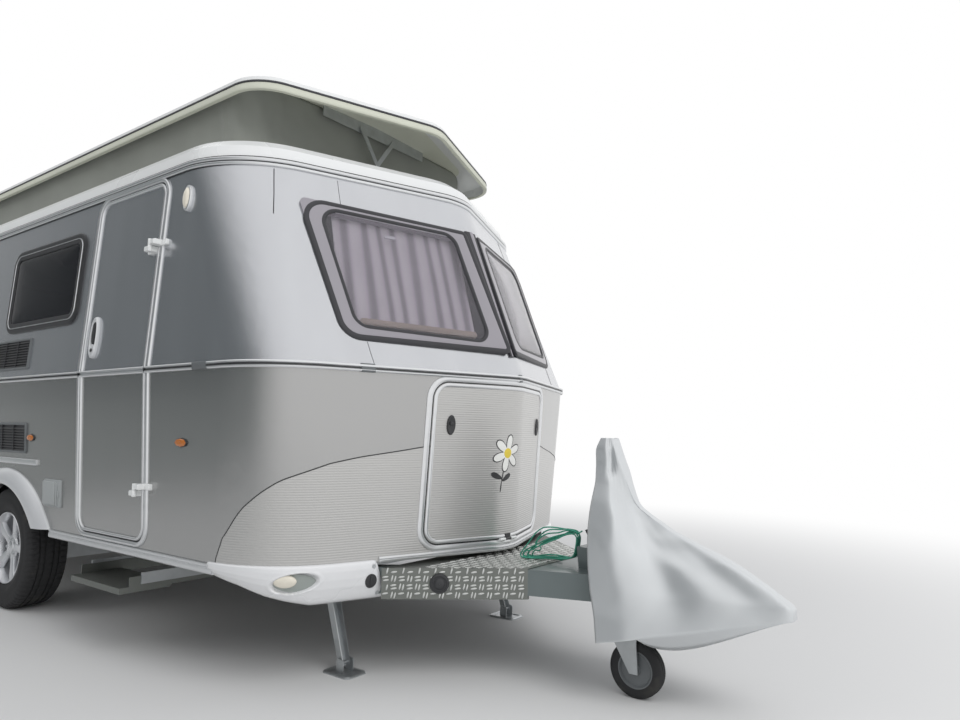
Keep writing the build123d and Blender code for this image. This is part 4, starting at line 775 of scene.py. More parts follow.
def buildCover():
    counts = (12, 64, 18, 64, 12)
    outlines = np.array([coverOutline(row, counts) for row in coverRows])
    cols = outlines.shape[1]
    rows = 110
    base = outlines[0]
    hem = np.interp(base[:, 0], (0.05, 0.659), (0.213, 0.347))
    hem = smoothAlong(hem[:, None], 6, 0)[:, 0]
    v = np.linspace(0, 1, rows)[:, None]
    top = coverRows[-1][0]
    z = hem + (top - hem) * v
    x = np.empty_like(z)
    y = np.empty_like(z)
    for c in range(cols):
        x[:, c] = np.interp(z[:, c], coverRows[:, 0], outlines[:, c, 0])
        y[:, c] = np.interp(z[:, c], coverRows[:, 0], outlines[:, c, 1])
    grid = np.stack((x + coverBack, y, z), -1)
    grid = smoothAlong(smoothAlong(grid, 10, 1), 5, 0)
    alongU, alongV = np.gradient(grid, axis=1), np.gradient(grid, axis=0)
    inward = np.cross(alongV, alongU)
    inward /= np.linalg.norm(inward, axis=-1, keepdims=True)
    # Folds as bands along lines in the side view: from X and Z at one end to the other, then width and depth
    away = grid[..., 0] - coverBack
    depth = np.zeros_like(away)
    for x0, z0, x1, z1, width, deep in cover["folds"]:
        run = np.array((x1 - x0, z1 - z0))
        length = float(np.hypot(*run))
        along = ((away - x0) * run[0] + (grid[..., 2] - z0) * run[1]) / length
        across = ((grid[..., 2] - z0) * run[0] - (away - x0) * run[1]) / length
        ends = np.clip(np.minimum(along, length - along) / (0.35 * length) + 0.15, 0, 1)
        spread = width * (0.5 + 0.7 * along / length).clip(0.4, 1.3)
        depth += deep * np.exp(-(across / spread) ** 2) * ends**2 * (3 - 2 * ends)
    u = np.linspace(-1, 1, cols)[None, :]
    down = 1 - v
    slow = np.sin(9 * np.abs(u) + 8 * down + 1.5 * np.sin(5 * down)) * np.sin(7 * down + 2 * u)
    quick = 0.35 * np.sin(41 * u + 17 * down) * np.sin(23 * down + 5 * u)
    depth += cover["ripple"] * (slow + quick)
    edge = np.clip((1.0 - np.abs(u)) / 0.05, 0.15, 1)
    grid = grid + inward * (depth * edge)[..., None]
    # Below the hem line the front half hangs on and turns under, and a welt follows the hem
    share = np.clip((base[:, 0] - 0.2) / 0.46, 0, 1)
    deepest = cover["hemDrop"]
    drop = deepest * np.sin(math.pi * np.clip(share * 1.02, 0, 1) ** 0.55) ** 1.2
    centre = np.stack((grid[0][:, 0], np.full(cols, -0.02), grid[0][:, 2]), -1)
    skirt = []
    for k in (1.0, 0.7, 0.4, 0.15):
        row = grid[0] + (centre - grid[0]) * (0.3 * k * (drop / deepest))[:, None]
        row[:, 2] -= np.maximum(drop * k, 0.0012 * (1 + k))
        row[:, 2] = np.maximum(row[:, 2], cover["hemLowest"])
        skirt.append(row)
    grid = np.concatenate((np.array(skirt), grid))
    # The top closes over the knob in rows that shrink towards its middle line
    crown = grid[-1]
    middle = np.stack((crown[:, 0], np.full(cols, coverRows[-1][5]), crown[:, 2]), -1)
    caps = [middle + (crown - middle) * s + (0, 0, h)
            for s, h in ((0.8, -0.001), (0.5, -0.0005), (0.2, 0.0), (0.0, 0.0))]
    grid = np.concatenate((grid, np.array(caps)))
    points, faces = grid.reshape(-1, 3), gridFaces(grid.shape[0], cols)
    piece = makePiece("hitchCover", points, faces, "coverCloth", weld=0.0006, sharp=60)
    thicken(piece, cover["thickness"])
    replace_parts(piece, "hitch_cover")
    area = sheetArea(grid)
    width = float(np.linalg.norm(np.diff(grid[0], axis=0), axis=1).sum())
    print("cover cut", round(width, 2), round(area, 3))


buildCover()


# Curtains behind the end windows
curtain = {
    "width": 0.6,
    "height": 0.56,
    "folds": 8,
    "depth": 0.0042,
    "thickness": 0.0012,
}


def buildCurtain(tag, side, end):
    # Pleats as a wave that deepens towards the hem, each of a slightly different width
    cols, rows = 161, 40
    u = np.linspace(0, 1, cols)[None, :]
    v = np.linspace(0, 1, rows)[:, None]
    phase = 2 * math.pi * curtain["folds"] * (u + 0.018 * np.sin(2 * math.pi * u * 2.3 + 1.3 * v))
    wave = np.sin(phase) + 0.25 * np.sin(2 * phase + 1)
    out = -0.0365 + curtain["depth"] * (0.55 + 0.45 * (1 - v)) * wave / 1.2
    across, up = (u - 0.5) * curtain["width"], -0.01 + (v - 0.5) * curtain["height"]
    place = np.stack(np.broadcast_arrays(across, up), -1)
    grid = onFlat(place, out, side, end)
    points, faces = grid.reshape(-1, 3), gridFaces(rows, cols)
    piece = makePiece("curtain" + tag, points, faces, "curtainCloth")
    # Painted shade for the pleats: 1 on the crests, down towards 0 in the hollows, which lie back from the
    # glass
    paintedPleatShade = piece.data.attributes.new("pleatShadeMask", "FLOAT", "POINT")
    paintedPleatShade.data.foreach_set("value", np.clip(0.55 + 0.45 * wave, 0, 1).ravel().astype(np.float32))
    thicken(piece, curtain["thickness"], 0.0)
    length = float(np.linalg.norm(np.diff(grid[0], axis=0), axis=1).sum())
    return piece


for tag, side, end in fourEnds:
    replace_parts(buildCurtain(tag, side, end), "curtains")


# Canvas between the deck and the lid
canvas = {
    "frontSetback": 0.955,
    "halfWidth": 0.8,
    "corner": 0.12,
    "low": 2.1255,
    "thickness": 0.0012,
    "foldDepth": 0.013,
    "overlap": 1.02,
}
# The lid's outlines, columns as for the body
lidRows = np.array([
    (2.38, 0.85, 0.483, 19.9, 0.2, 0.2),
    (2.44, 0.838, 0.5, 19.9, 0.195, 0.195),
    (2.515, 0.71, 0.67, 19.9, 0.16, 0.18),
    (2.54, 0.48, 0.94, 19.9, 0.12, 0.15),
])
lidSkin = 0.014


def lidUnder(x, y):
    # Height of the lid's inner face above a point: each outline counts as a hexagon moved in by the skin
    v = math.radians(lidRows[0][3])
    reach = np.abs(x - middleX)
    depths = []
    for _, half, setback, *_ in lidRows:
        front = (bodyFront - middleX - setback - reach - math.tan(v) * np.abs(y)) * math.cos(v)
        depths.append(np.minimum(half - np.abs(y), front) - lidSkin - 0.0025)
    z = np.full(np.shape(x), lidRows[-1][0])
    for i in (2, 1, 0):
        share = np.clip(depths[i] / np.maximum(depths[i] - depths[i + 1], 1e-6), 0, 1)
        z = np.where(depths[i + 1] < 0, lidRows[i][0] + share * (lidRows[i + 1][0] - lidRows[i][0]), z)
    return z - lidSkin - 0.0015


def buildCanvas():
    # A wall of cloth around the roof opening, drawn in where it hangs free, its folds gathered at the corners
    front, rear = bodyFront - canvas["frontSetback"], bodyRear + canvas["frontSetback"]
    half = canvas["halfWidth"]
    corners = [(front, -half), (front, half), (rear, half), (rear, -half)]
    outline = roundLoop(corners, canvas["corner"], arc=40, side=180)
    cols, rows = len(outline), 26
    step = np.linalg.norm(np.roll(outline, -1, 0) - outline, axis=1)
    run = np.concatenate(((0,), np.cumsum(step)[:-1]))
    tangent = np.roll(outline, -1, 0) - np.roll(outline, 1, 0)
    tangent /= np.linalg.norm(tangent, axis=1, keepdims=True)
    inward = np.stack((-tangent[:, 1], tangent[:, 0]), -1)
    nearCorner = np.exp(-(np.minimum.reduce([np.hypot(*(outline - c).T) for c in corners]) / 0.24) ** 2)
    v = np.linspace(0, 1, rows)[:, None]
    high = lidUnder(outline[:, 0], outline[:, 1]) - 0.0025
    sag = np.sin(math.pi * v) * (0.6 + 0.4 * np.cos(run * 0.7))
    broad = 0.35 * np.sin(run * 2.3 + 1.2 * np.sin(run * 0.9)) + 0.25 * np.sin(run * 7.1 + 2.0 * v)
    tight = np.sin(run * 47 + 3.5 * v) * nearCorner * 0.55 + 0.2 * np.sin(run * 19 + 5 * v * np.sin(run))
    creases = 0.12 * np.sin(run * 31 + 9 * v) * np.sin(14 * v + run)
    depth = canvas["foldDepth"] * sag * (0.95 + broad + tight + creases)
    flat = outline[None] + inward[None] * np.maximum(depth, 0.0004)[..., None]
    z = canvas["low"] + (high - canvas["low"]) * v
    grid = np.concatenate((flat, z[..., None]), -1)
    piece = makePiece("roofCanvas", grid.reshape(-1, 3), gridFaces(rows, cols, False, True), "canvas",
                      body=None)
    thicken(piece, canvas["thickness"])
    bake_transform(piece)
    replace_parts(piece, "canvas")
    closed = np.concatenate((grid, grid[:, :1]), 1)
    sheetArea(closed)


buildCanvas()
print("rope, cover, curtains and canvas are in place")


# Outline of the body as a path, all the way round or from the door's front edge round to its rear edge
def outlinePath(z, startX=None, endX=None, ring=None):
    def curve(t):
        return skinFlat(t, np.full(np.shape(t), z)) if ring is None else ringPoints(ring, t)

    def tAtX(x, end):
        sideStart = curve(np.array(3.0))[0]
        x = x if end > 0 else 2 * middleX - x
        return 3 + (sideStart - x) / (sideStart - middleX)

    def spread(low, high):
        knots = sorted({low, high} | {k for k in (1, 2, 3) if low < k < high})
        counts = (8, 12, 70, 24)
        pieces = [np.linspace(a, b, counts[min(int(a), 3)], endpoint=False) for a, b in zip(knots, knots[1:])]
        return np.concatenate(pieces + [[high]])

    first = tAtX(startX, 1) if startX is not None else 4.0
    legs = [(spread(0, first)[::-1], rightSide, 1), (spread(0, 4)[1:], leftSide, 1),
            (spread(0, 4)[::-1][1:], leftSide, -1), (spread(0, 4)[1:], rightSide, -1)]
    if endX is not None:
        legs.append((spread(tAtX(endX, 1), 4)[::-1][1:], rightSide, 1))
    else:
        legs[-1] = (legs[-1][0][:-1], rightSide, -1)
    points, normals = [], []
    for t, side, end in legs:
        p = curve(t)
        d = curve(t + 0.001) - curve(t - 0.001)
        d /= np.linalg.norm(d, axis=1, keepdims=True)
        out = np.stack((d[:, 1], -d[:, 0]), -1)
        x = p[:, 0] if end > 0 else 2 * middleX - p[:, 0]
        points.append(np.stack((x, p[:, 1] * side), -1))
        normals.append(np.stack((out[:, 0] * end, out[:, 1] * side), -1))
    return np.concatenate(points), np.concatenate(normals)


def strip(z, profile, startX=None, endX=None, ring=None):
    # A closed profile of (out, up) carried along the outline
    points, normals = outlinePath(z, startX, endX, ring)
    profile = np.asarray(profile)
    flat = points[:, None] + normals[:, None] * profile[None, :, :1]
    height = np.broadcast_to(z + profile[None, :, 1:], flat.shape[:2] + (1,))
    loops = np.concatenate((flat, height), -1)
    return ringBand(loops) if startX is None else capped(loops)


def roundedProfile(points, radius=0.0015):
    return roundLoop(points, radius, arc=3)


doorFrontX, doorRearX = bodyFront - 1.133, bodyFront - 1.71
doorBox = boxAt(doorRearX, doorFrontX, 0.47, 1.985)
railHalf = [(-0.004, 0.0135), (0.0095, 0.0135), (0.0125, 0.009), (0.0125, 0.006), (0.0085, 0.0035)]
railProfile = roundedProfile(mirrored(railHalf), 0.0012)


def buildRails():
    rail = strip(waistHeight, railProfile, doorFrontX + 0.003, doorRearX - 0.003)
    waist = makePiece("waistRail", *rail, "railAlu", sharp=50)
    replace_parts(waist, "waist_rail")
    x = np.linspace(doorRearX + 0.006, doorFrontX - 0.006, 3)
    loops = wallAt(x[:, None], waistHeight + railProfile[None, :, 1], railProfile[None, :, 0])
    makePiece("doorRail", *capped(loops), "railAlu", body="door", sharp=50)
    inlay = roundedProfile([(0.006, -0.0034), (0.0102, -0.003), (0.0102, 0.003), (0.006, 0.0034)], 0.0008)
    makePiece("railInlay", *strip(waistHeight, inlay, doorFrontX + 0.004, doorRearX - 0.004), "blackPlastic")
    # Gutter: two bright beads with dark gaps, below the white roof
    low = roundedProfile([(-0.006, -0.016), (0.0085, -0.016), (0.012, -0.012), (0.012, -0.005),
                          (0.0085, -0.001), (-0.006, -0.001)], 0.003)
    high = low + (0.0, 0.019)
    seal = roundedProfile([(-0.014, -0.02), (0.005, -0.02), (0.005, 0.023), (-0.014, 0.023)], 0.001)
    gutter = makePiece("gutterRail", *strip(gutterHeight, low), "railAlu", sharp=50)
    makePiece("gutterBead", *strip(gutterHeight, high), "railAlu", sharp=50)
    makePiece("gutterSeal", *strip(gutterHeight, seal), "blackPlastic", sharp=50)
    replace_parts(gutter, "gutter_rail")
    # Joint covers on the waist rail. Columns: t, half length along t, side
    clips = []
    profile = roundedProfile([(0.0, -0.015), (0.014, -0.014), (0.014, 0.014), (0.0, 0.015)], 0.003)
    for t, half, side in ((3.07, 0.025, rightSide), (1.8, 0.035, rightSide), (0.12, 0.12, leftSide),
                          (2.31, 0.03, leftSide)):
        ts = np.linspace(t - half, t + half, 6)
        clips.append(capped(skin(ts[:, None], waistHeight + profile[None, :, 1], profile[None, :, 0], side)))
    makePiece("railCovers", *joinParts(clips), "ventGrey")


buildRails()


# Ribbed sheet low on the front, below the curved seam
ribs = {
    "pitch": 0.0092,
    "depth": 0.0008,
    "perRib": 5,
    "edgeY": 0.345,
    "bendFrom": 0.56,
    "bendRadius": 0.07,
}
arcLine = np.array([(1.455, 0.881), (1.619, 0.862), (1.841, 0.84), (2.084, 0.805), (2.242, 0.781),
                    (2.393, 0.757), (2.545, 0.713), (2.705, 0.65), (2.858, 0.539), (2.909, 0.472),
                    (2.915, 0.446)])


def ribWave(z):
    return 0.0005 + ribs["depth"] * np.abs(np.cos(math.pi * z / ribs["pitch"])) ** 0.8


def buildFrontSheets():
    seams = []
    for side, tag in ((rightSide, "Right"), (leftSide, "Left")):
        z = np.arange(0.4465, 0.88, ribs["pitch"] / ribs["perRib"])[:, None]
        outer = np.interp(z, arcLine[::-1, 1], arcLine[::-1, 0])
        bend = np.clip((ribs["bendFrom"] - z) / ribs["bendRadius"], 0, 1)
        inner = tAtY(ribs["edgeY"] + ribs["bendRadius"] * np.sqrt(1 - bend**2), z)
        t = inner + (np.maximum(outer, inner + 0.004) - inner) * np.linspace(0, 1, 36)[None, :]
        sheet = slab(skin(t, z, ribWave(z), side), skin(t, z, -0.001, side))
        makePiece("ribbedSheet" + tag, *sheet, "ribbedSilver", sharp=80)
        t = np.concatenate((np.linspace(1.44, 2.85, 90), np.linspace(2.86, 2.915, 12)))
        zLine = np.interp(t, arcLine[:, 0], arcLine[:, 1])
        zLine[3:-3] = np.convolve(zLine, np.ones(7) / 7, "valid")
        seams.append(tubeAlong(skin(t, zLine, 0.0006, side), 0.0022, 8))
    makePiece("arcSeams", *joinParts(seams), "blackPlastic")


# Locker frame and flap
lockerBox = boxAt(-0.405, 0.405, 0.49, 1.14)
lockerPin = {
    "setback": 0.0575,
    "height": 0.491,
    "half": 0.0195,
    "radius": 0.006,
}


def lockerRing(rows):
    return ringBand(loopsOn(nose, lockerBox, 0.07, rows, 9, 26))


def lockerKnuckle(y, low, high, columns, out):
    # A knuckle on the flap's pin line and its leaf, which covers the skin between two heights
    half = lockerPin["half"]
    across = np.linspace(y - half, y + half, columns)[None, :]
    return [crossPin(bodyFront - lockerPin["setback"], y, lockerPin["height"], half, lockerPin["radius"], 20),
            noseSheet(across, np.linspace(low, high, 4)[:, None], out)]


def buildLocker():
    frameRows = ((-0.024, -0.001), (-0.0235, 0.003), (-0.02, 0.005), (-0.013, 0.0064), (-0.006, 0.005),
                 (-0.001, 0.003), (-0.0005, -0.004))
    makePiece("lockerFrame", *lockerRing(frameRows), "railAlu", sharp=50)
    rimRows = ((0.0065, -0.004), (0.0065, 0.003), (0.009, 0.005), (0.013, 0.0056), (0.018, 0.0046),
               (0.0205, 0.003), (0.021, -0.001))
    makePiece("flapRim", *lockerRing(rimRows), "railAlu", body="locker_flap", sharp=50)
    sealRows = ((0.0006, -0.02), (0.0006, -0.0015), (0.0044, -0.0015), (0.0044, -0.02))
    makePiece("lockerSeal", *lockerRing(sealRows), "blackPlastic", sharp=50)
    half, low, high, corner = 0.3845, 0.5105, 1.1195, 0.05
    z = np.arange(low, high, ribs["pitch"] / ribs["perRib"])[:, None]
    near = np.clip(corner - np.minimum(z - low, high - z), 0, corner)
    width = half - corner + np.sqrt(np.maximum(corner**2 - near**2, 0))
    y = width * np.linspace(-1, 1, 44)[None, :]
    makePiece("flapSheet", *noseSheet(y, z, ribWave(z)), "ribbedSilver", body="locker_flap", sharp=80)
    # Oval locks: a black surround, a dished face and a key slot; then the flap's own hinge knuckle
    parts = []
    surround = ((1, -0.001), (1, 0.0045), (0.93, 0.0075), (0.78, 0.008), (0.68, 0.0062), (0.3, 0.0055))
    slot = ((1, 0.004), (1, 0.009), (0.85, 0.0098), (0.3, 0.0098))
    for y in (-0.317, 0.33):
        parts.append(oval(nose, (y, 0.966), (0.0185, 0.04), surround, 40))
        parts.append(oval(nose, (y, 0.972), (0.0075, 0.0075), slot, 40))
    parts += lockerKnuckle(0.0, 0.492, 0.511, 9, 0.0058)
    fittings = makePiece("lockerLocks", *joinParts(parts), "blackPlastic", body="locker_flap", sharp=40)
    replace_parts(fittings, "locker_fittings")


buildFrontSheets()
buildLocker()
print("rails, ribbed sheets and locker are in place")


# End windows: gasket, violet margin, inner gasket and a slightly domed pane
def flatBox(corners):
    return [flatCorner(y, z) for y, z in corners]


# Outlines of the window and its glass, each with its corners' radii
windowOutlines = (
    (flatBox(((-0.735, 1.285), (-0.015, 1.28), (-0.045, 1.845), (-0.775, 1.865))),
     (0.09, 0.025, 0.025, 0.09)),
    (flatBox(((-0.672, 1.338), (-0.106, 1.322), (-0.118, 1.812), (-0.7, 1.826))), (0.06, 0.055, 0.06, 0.065)),
)
# Rows: which outline (0 window, 1 glass), inset, how far out
gasketRows = ((0, -0.006, -0.001), (0, -0.006, 0.0075), (0, -0.003, 0.01), (0, 0.006, 0.0108),
              (0, 0.013, 0.01), (0, 0.016, 0.0082), (0, 0.016, -0.001))
marginRows = ((0, 0.0155, 0.007), (0, 0.016, 0.0088), (0, 0.019, 0.0094), (1, -0.022, 0.0112),
              (1, -0.012, 0.0112), (1, -0.01, 0.007))
innerRows = ((1, -0.0125, 0.007), (1, -0.0125, 0.0118), (1, -0.009, 0.013), (1, -0.002, 0.0128),
             (1, 0.002, 0.0105), (1, 0.004, 0.006), (1, -0.004, 0.005))


def windowRing(place, rows):
    return ringBand([loopsOn(place, *windowOutlines[which], [row], 10, 4)[0] for which, *row in rows])


def domedPane(place, corners, radii, low, rise):
    line = roundLoop(corners, radii, 0.004, arc=10, side=4)
    middle = line.mean(0)
    levels = [(s, low - 0.002) for s in (0.03, 0.5, 1.0)]
    shares = (1.0, 0.985, 0.95, 0.9, 0.8, 0.65, 0.5, 0.35, 0.2, 0.03)
    levels += [(s, low + rise * (1 - s**3) ** 0.7) for s in shares]
    return capped([place(*(middle + (line - middle) * s).T, np.full(len(line), out)) for s, out in levels])


def buildEndWindows():
    gaskets, margins, inners, panes, latches, bars = [], [], [], [], [], []
    for _, side, end in fourEnds:
        def place(u, v, out, side=side, end=end):
            return onFlat(np.stack((u, v), -1), out, side, end)

        gaskets.append(windowRing(place, gasketRows))
        margins.append(windowRing(place, marginRows))
        inners.append(windowRing(place, innerRows))
        panes.append(domedPane(place, *windowOutlines[1], 0.0062, 0.0085))
        u, v = flatCorner(-0.425, 1.752)
        latch = boxAt(u - 0.026, u + 0.026, v - 0.0075, v + 0.0075)
        latches.append(plate(place, latch, 0.005, ((0, -0.006), (0, 0.001), (0.003, 0.002)), 7))
        (lowU, lowV), (highU, highV) = flatCorner(-0.65, 1.352), flatCorner(-0.15, 1.342)
        bar = ((lowU, lowV), (highU, highV), (highU, highV + 0.026), (lowU, lowV + 0.026))
        bars.append(plate(place, bar, 0.012, ((0, -0.02), (0, -0.006), (0.006, -0.001)), 7))
    for name, parts, finish in (("windowGaskets", gaskets, "blackRubber"),
                                ("windowMargins", margins, "panelViolet"),
                                ("paneGaskets", inners, "blackRubber"),
                                ("windowLatches", latches, "whiteGel"), ("windowBars", bars, "beigeTrim")):
        makePiece(name, *joinParts(parts), finish, sharp=50)
    return panes


def buildSideWindows(panes):
    frames, beads = [], []
    frameRows = ((-0.008, -0.001), (-0.008, 0.008), (-0.004, 0.011), (0.004, 0.0118), (0.014, 0.01),
                 (0.034, 0.0125), (0.042, 0.011), (0.044, 0.006), (0.044, -0.001))
    beadRows = ((0.015, 0.0085), (0.0165, 0.0128), (0.02, 0.0128), (0.0215, 0.0085))
    margin, z0, z1 = 0.04, 1.425, 1.86
    for side in (rightSide, leftSide):
        place = onWall(side)
        for front, rear in ((1.83, 2.64), (3.01, 3.7)):
            x0, x1 = bodyFront - rear, bodyFront - front
            for store, rows in ((frames, frameRows), (beads, beadRows)):
                store.append(ringBand(loopsOn(place, boxAt(x0, x1, z0, z1), 0.075, rows, 10, 4)))
            glass = boxAt(x0 + margin, x1 - margin, z0 + margin, z1 - margin)
            panes.append(domedPane(place, glass, 0.036, 0.0065, 0.006))
    makePiece("sideWindowFrames", *joinParts(frames), "blackPlastic", sharp=50)
    makePiece("sideWindowBeads", *joinParts(beads), "railAlu", sharp=50)
    glass = makePiece("windowPanes", *joinParts(panes[:4]), "tintedPane", sharp=60)
    makePiece("sidePanes", *joinParts(panes[4:]), "darkPane", sharp=60)
    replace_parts(glass, "window_panes")


def buildCentreStrips():
    # The black joint between the two windows of an end, narrower at the foot, with a raised middle
    z = np.linspace(1.266, 1.856, 30)[:, None]
    half = np.interp(z, (1.27, 1.85), (0.012, 0.04))
    # Columns: name, finish, share of the width, columns, shares across and how far out there, back
    for name, finish, reach, columns, shares, outs, back in (
            ("centreStrips", "blackRubber", 1, 13, (0, 0.35, 0.45, 0.9, 1),
             (0.0105, 0.0105, 0.0085, 0.0085, 0.005), -0.001),
            ("centreRidges", "panelViolet", 0.3, 7, (0, 0.2, 0.3), (0.0128, 0.0125, 0.0108), 0.009)):
        across = np.linspace(-reach, reach, columns)[None, :]
        lift = np.interp(np.abs(across), shares, outs) * np.ones_like(z)
        parts = [noseSheet(across * half, z, lift, back, end) for end in (1, -1)]
        makePiece(name, *joinParts(parts), finish, sharp=50)


def buildPanelSeams():
    # Joints of the front panels. Rows: points of (t, height) along each seam, its half width
    seams = []
    lines = ((((2.222, 2.06), (2.25, 1.9), (2.276, 1.779)), 0.002),
             (((1.772, 1.998), (1.778, 1.93), (1.781, 1.868)), 0.001),
             (((1.775, 1.276), (1.768, 1.23), (1.76, 1.19)), 0.001))
    underGutter = 1.986
    for side in (rightSide, leftSide):
        for end in (1, -1):
            for points, half in lines:
                t, z = np.array(points).T
                ts = np.interp(np.linspace(z[0], z[-1], 16)[::-1], z[::-1], t[::-1])[::-1]
                zs = np.linspace(min(z[0], underGutter), z[-1], 16)
                seams.append(tubeAlong(skin(ts, zs, 0.0002, side, end), half, 8))
    makePiece("panelSeams", *joinParts(seams), "blackRubber")


buildSideWindows(buildEndWindows())
buildCentreStrips()
buildPanelSeams()
print("windows are in place")


# Lid: a cream lip and liner, and a black rubber seal above the lip
def buildLid():
    lip = roundedProfile([(-0.0175, -0.004), (0.002, -0.004), (0.003, 0.004), (-0.001, 0.027),
                          (-0.006, 0.027), (-0.0045, 0.002), (-0.0145, 0.002), (-0.0165, 0.04),
                          (-0.019, 0.04)], 0.0008)
    makePiece("lidLip", *strip(lidRows[0][0], lip, ring=lidRows[0]), "creamLiner", body="lid", sharp=50)
    seal = roundedProfile([(-0.008, 0.0268), (0.0012, 0.0268), (0.0014, 0.03), (-0.001, 0.0375),
                           (-0.01, 0.0375)], 0.001)
    makePiece("lidSeal", *strip(lidRows[0][0], seal, ring=lidRows[0]), "blackRubber", body="lid", sharp=50)
    upper, lower = [], []
    for ring, rise in zip(lidRows, (0.0015, -0.0005, -lidSkin, -lidSkin)):
        points, normals = outlinePath(0.0, ring=ring)
        for store, gap, drop in ((upper, lidSkin + 0.0006, 0.0004), (lower, lidSkin + 0.0022, 0.002)):
            height = np.full(len(points), ring[0] + rise - drop)
            store.append(np.column_stack((points - normals * gap, height)))
    makePiece("lidLiner", *capped(upper[::-1] + lower), "creamLiner", body="lid", sharp=50)


def buildDoor():
    def ring(rows):
        return ringBand(loopsOn(onRight, doorBox, 0.07, rows, 12, 40))

    frameRows = ((-0.021, -0.001), (-0.0205, 0.005), (-0.017, 0.0085), (-0.011, 0.01), (-0.005, 0.0085),
                 (-0.0015, 0.005), (-0.0005, -0.004))
    makePiece("doorFrame", *ring(frameRows), "railAlu", sharp=50)
    rimRows = ((0.0055, -0.004), (0.0055, 0.005), (0.008, 0.0085), (0.012, 0.0095), (0.016, 0.0085),
               (0.0185, 0.005), (0.019, -0.001))
    makePiece("doorRim", *ring(rimRows), "railAlu", body="door", sharp=50)
    sealRows = ((0.0004, -0.022), (0.0004, -0.002), (0.0042, -0.002), (0.0042, -0.022))
    makePiece("doorSeal", *ring(sealRows), "blackRubber", sharp=50)
    # Handle: an oval surround around a dished grip, with the lock in its lower end
    x, z = bodyFront - 1.612, 1.334
    lockAt = (x, z - 0.058)
    surround = ((1, -0.001), (1, 0.006), (0.97, 0.012), (0.9, 0.015), (0.82, 0.014), (0.76, 0.009),
                (0.7, 0.0035), (0.4, 0.002), (0.05, 0.002))
    grip = oval(onRight, (x, z), (0.031, 0.095), surround, 64, 2.4)
    lower = oval(onRight, lockAt, (0.021, 0.026), ((1, 0.001), (1, 0.011), (0.9, 0.013), (0.1, 0.0135)), 40)
    handle = makePiece("doorHandle", *joinParts([grip, lower]), "silverGel", body="door", sharp=40)
    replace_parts(handle, "door_handle")
    paddleLevels = ((1, 0.001), (1, 0.0115), (0.85, 0.015), (0.1, 0.0155))
    paddle = oval(onRight, (x - 0.002, z + 0.02), (0.0095, 0.05), paddleLevels, 40, 2.6)
    lock = oval(onRight, lockAt, (0.008, 0.008), ((1, 0.012), (1, 0.016), (0.85, 0.0168), (0.1, 0.0168)), 30)
    makePiece("doorGrip", *joinParts([paddle, lock]), "blackPlastic", body="door", sharp=40)
    # Hinges: a leaf on the wall and one on the door, each with an arm out to its knuckle on the pin line
    pinX, pinY, pinHalf = bodyFront - 1.15, -1.06, 0.026
    knuckle = [(0.0006, 0), (0.0082, 0), (0.009, 0.0012), (0.009, pinHalf - 0.0012), (0.0082, pinHalf),
               (0.0006, pinHalf)]
    for body, tag, way, low in (("caravan", "bodyHinges", 1, 0.0003),
                                ("door", "doorHinges", -1, -pinHalf - 0.0003)):
        parts = []
        for height in (0.685, 1.69):
            z1, z2 = height + low, height + low + pinHalf
            stand = -pinY - float(np.interp(height, ringRows[:, 0], ringRows[:, 1]))
            leaf = sorted((pinX + way * 0.01, pinX + way * 0.07))
            parts.append(plate(onRight, boxAt(*leaf, z1, z2), 0.006,
                               ((0, -0.002), (0, 0.01), (0.0025, 0.013))))
            arm = boxAt(*sorted((pinX - way * 0.004, pinX + way * 0.036)), z1 + 0.001, z2 - 0.001)
            parts.append(plate(onRight, arm, 0.004, ((0, 0.002), (0, stand), (0.003, stand + 0.006))))
            parts.append(lathe(knuckle, (pinX, pinY, z1), (0, 0, 1), 32))
        if body == "caravan":
            # The locker frame's two knuckles are part of the same fittings
            for y in (-0.04, 0.04):
                parts += lockerKnuckle(y, 0.471, 0.49, 7, 0.0055)
        hinges = makePiece(tag, *joinParts(parts), "whiteGel", body=body, sharp=40)
        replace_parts(hinges, "body_hinges" if body == "caravan" else "door_fittings")


def buildVents():
    frames, slats, backs = [], [], []
    frameRows = ((0, -0.001), (0, 0.005), (0.002, 0.0075), (0.01, 0.008), (0.012, 0.006), (0.012, -0.001))
    slat = np.array(((0.0005, -0.004), (0.008, -0.0045), (0.0086, -0.003), (0.0025, 0.0045),
                     (0.0005, 0.0045)))
    # Columns: middle behind the body's nose, its height, width, height of the vent
    for setback, height, width, tall in ((2.515, 1.3, 0.44, 0.16), (2.5, 0.871, 0.44, 0.153)):
        x0, x1 = bodyFront - setback - width / 2, bodyFront - setback + width / 2
        z0, z1 = height - tall / 2, height + tall / 2
        frames.append(ringBand(loopsOn(onRight, boxAt(x0, x1, z0, z1), 0.012, frameRows, 7)))
        back = boxAt(x0 + 0.01, x1 - 0.01, z0 + 0.01, z1 - 0.01)
        backs.append(plate(onRight, back, 0.006, ((0, -0.001), (0, 0.0012))))
        x = np.array((x0 + 0.011, x1 - 0.011))[:, None]
        for z in np.arange(z0 + 0.017, z1 - 0.016, 0.0135):
            slats.append(capped(onRight(x, z + slat[None, :, 1], slat[None, :, 0])))
        for share in (0.335, 0.668):
            middle = x0 + (x1 - x0) * share
            post = boxAt(middle - 0.003, middle + 0.003, z0 + 0.012, z1 - 0.012)
            slats.append(plate(onRight, post, 0.002, ((0, 0), (0, 0.0092))))
    vents = makePiece("ventFrames", *joinParts(frames), "ventGrey", sharp=50)
    makePiece("ventSlats", *joinParts(slats), "blackPlastic", sharp=40)
    makePiece("ventBacks", *joinParts(backs), "blackRubber", sharp=40)
    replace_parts(vents, "side_hatches")


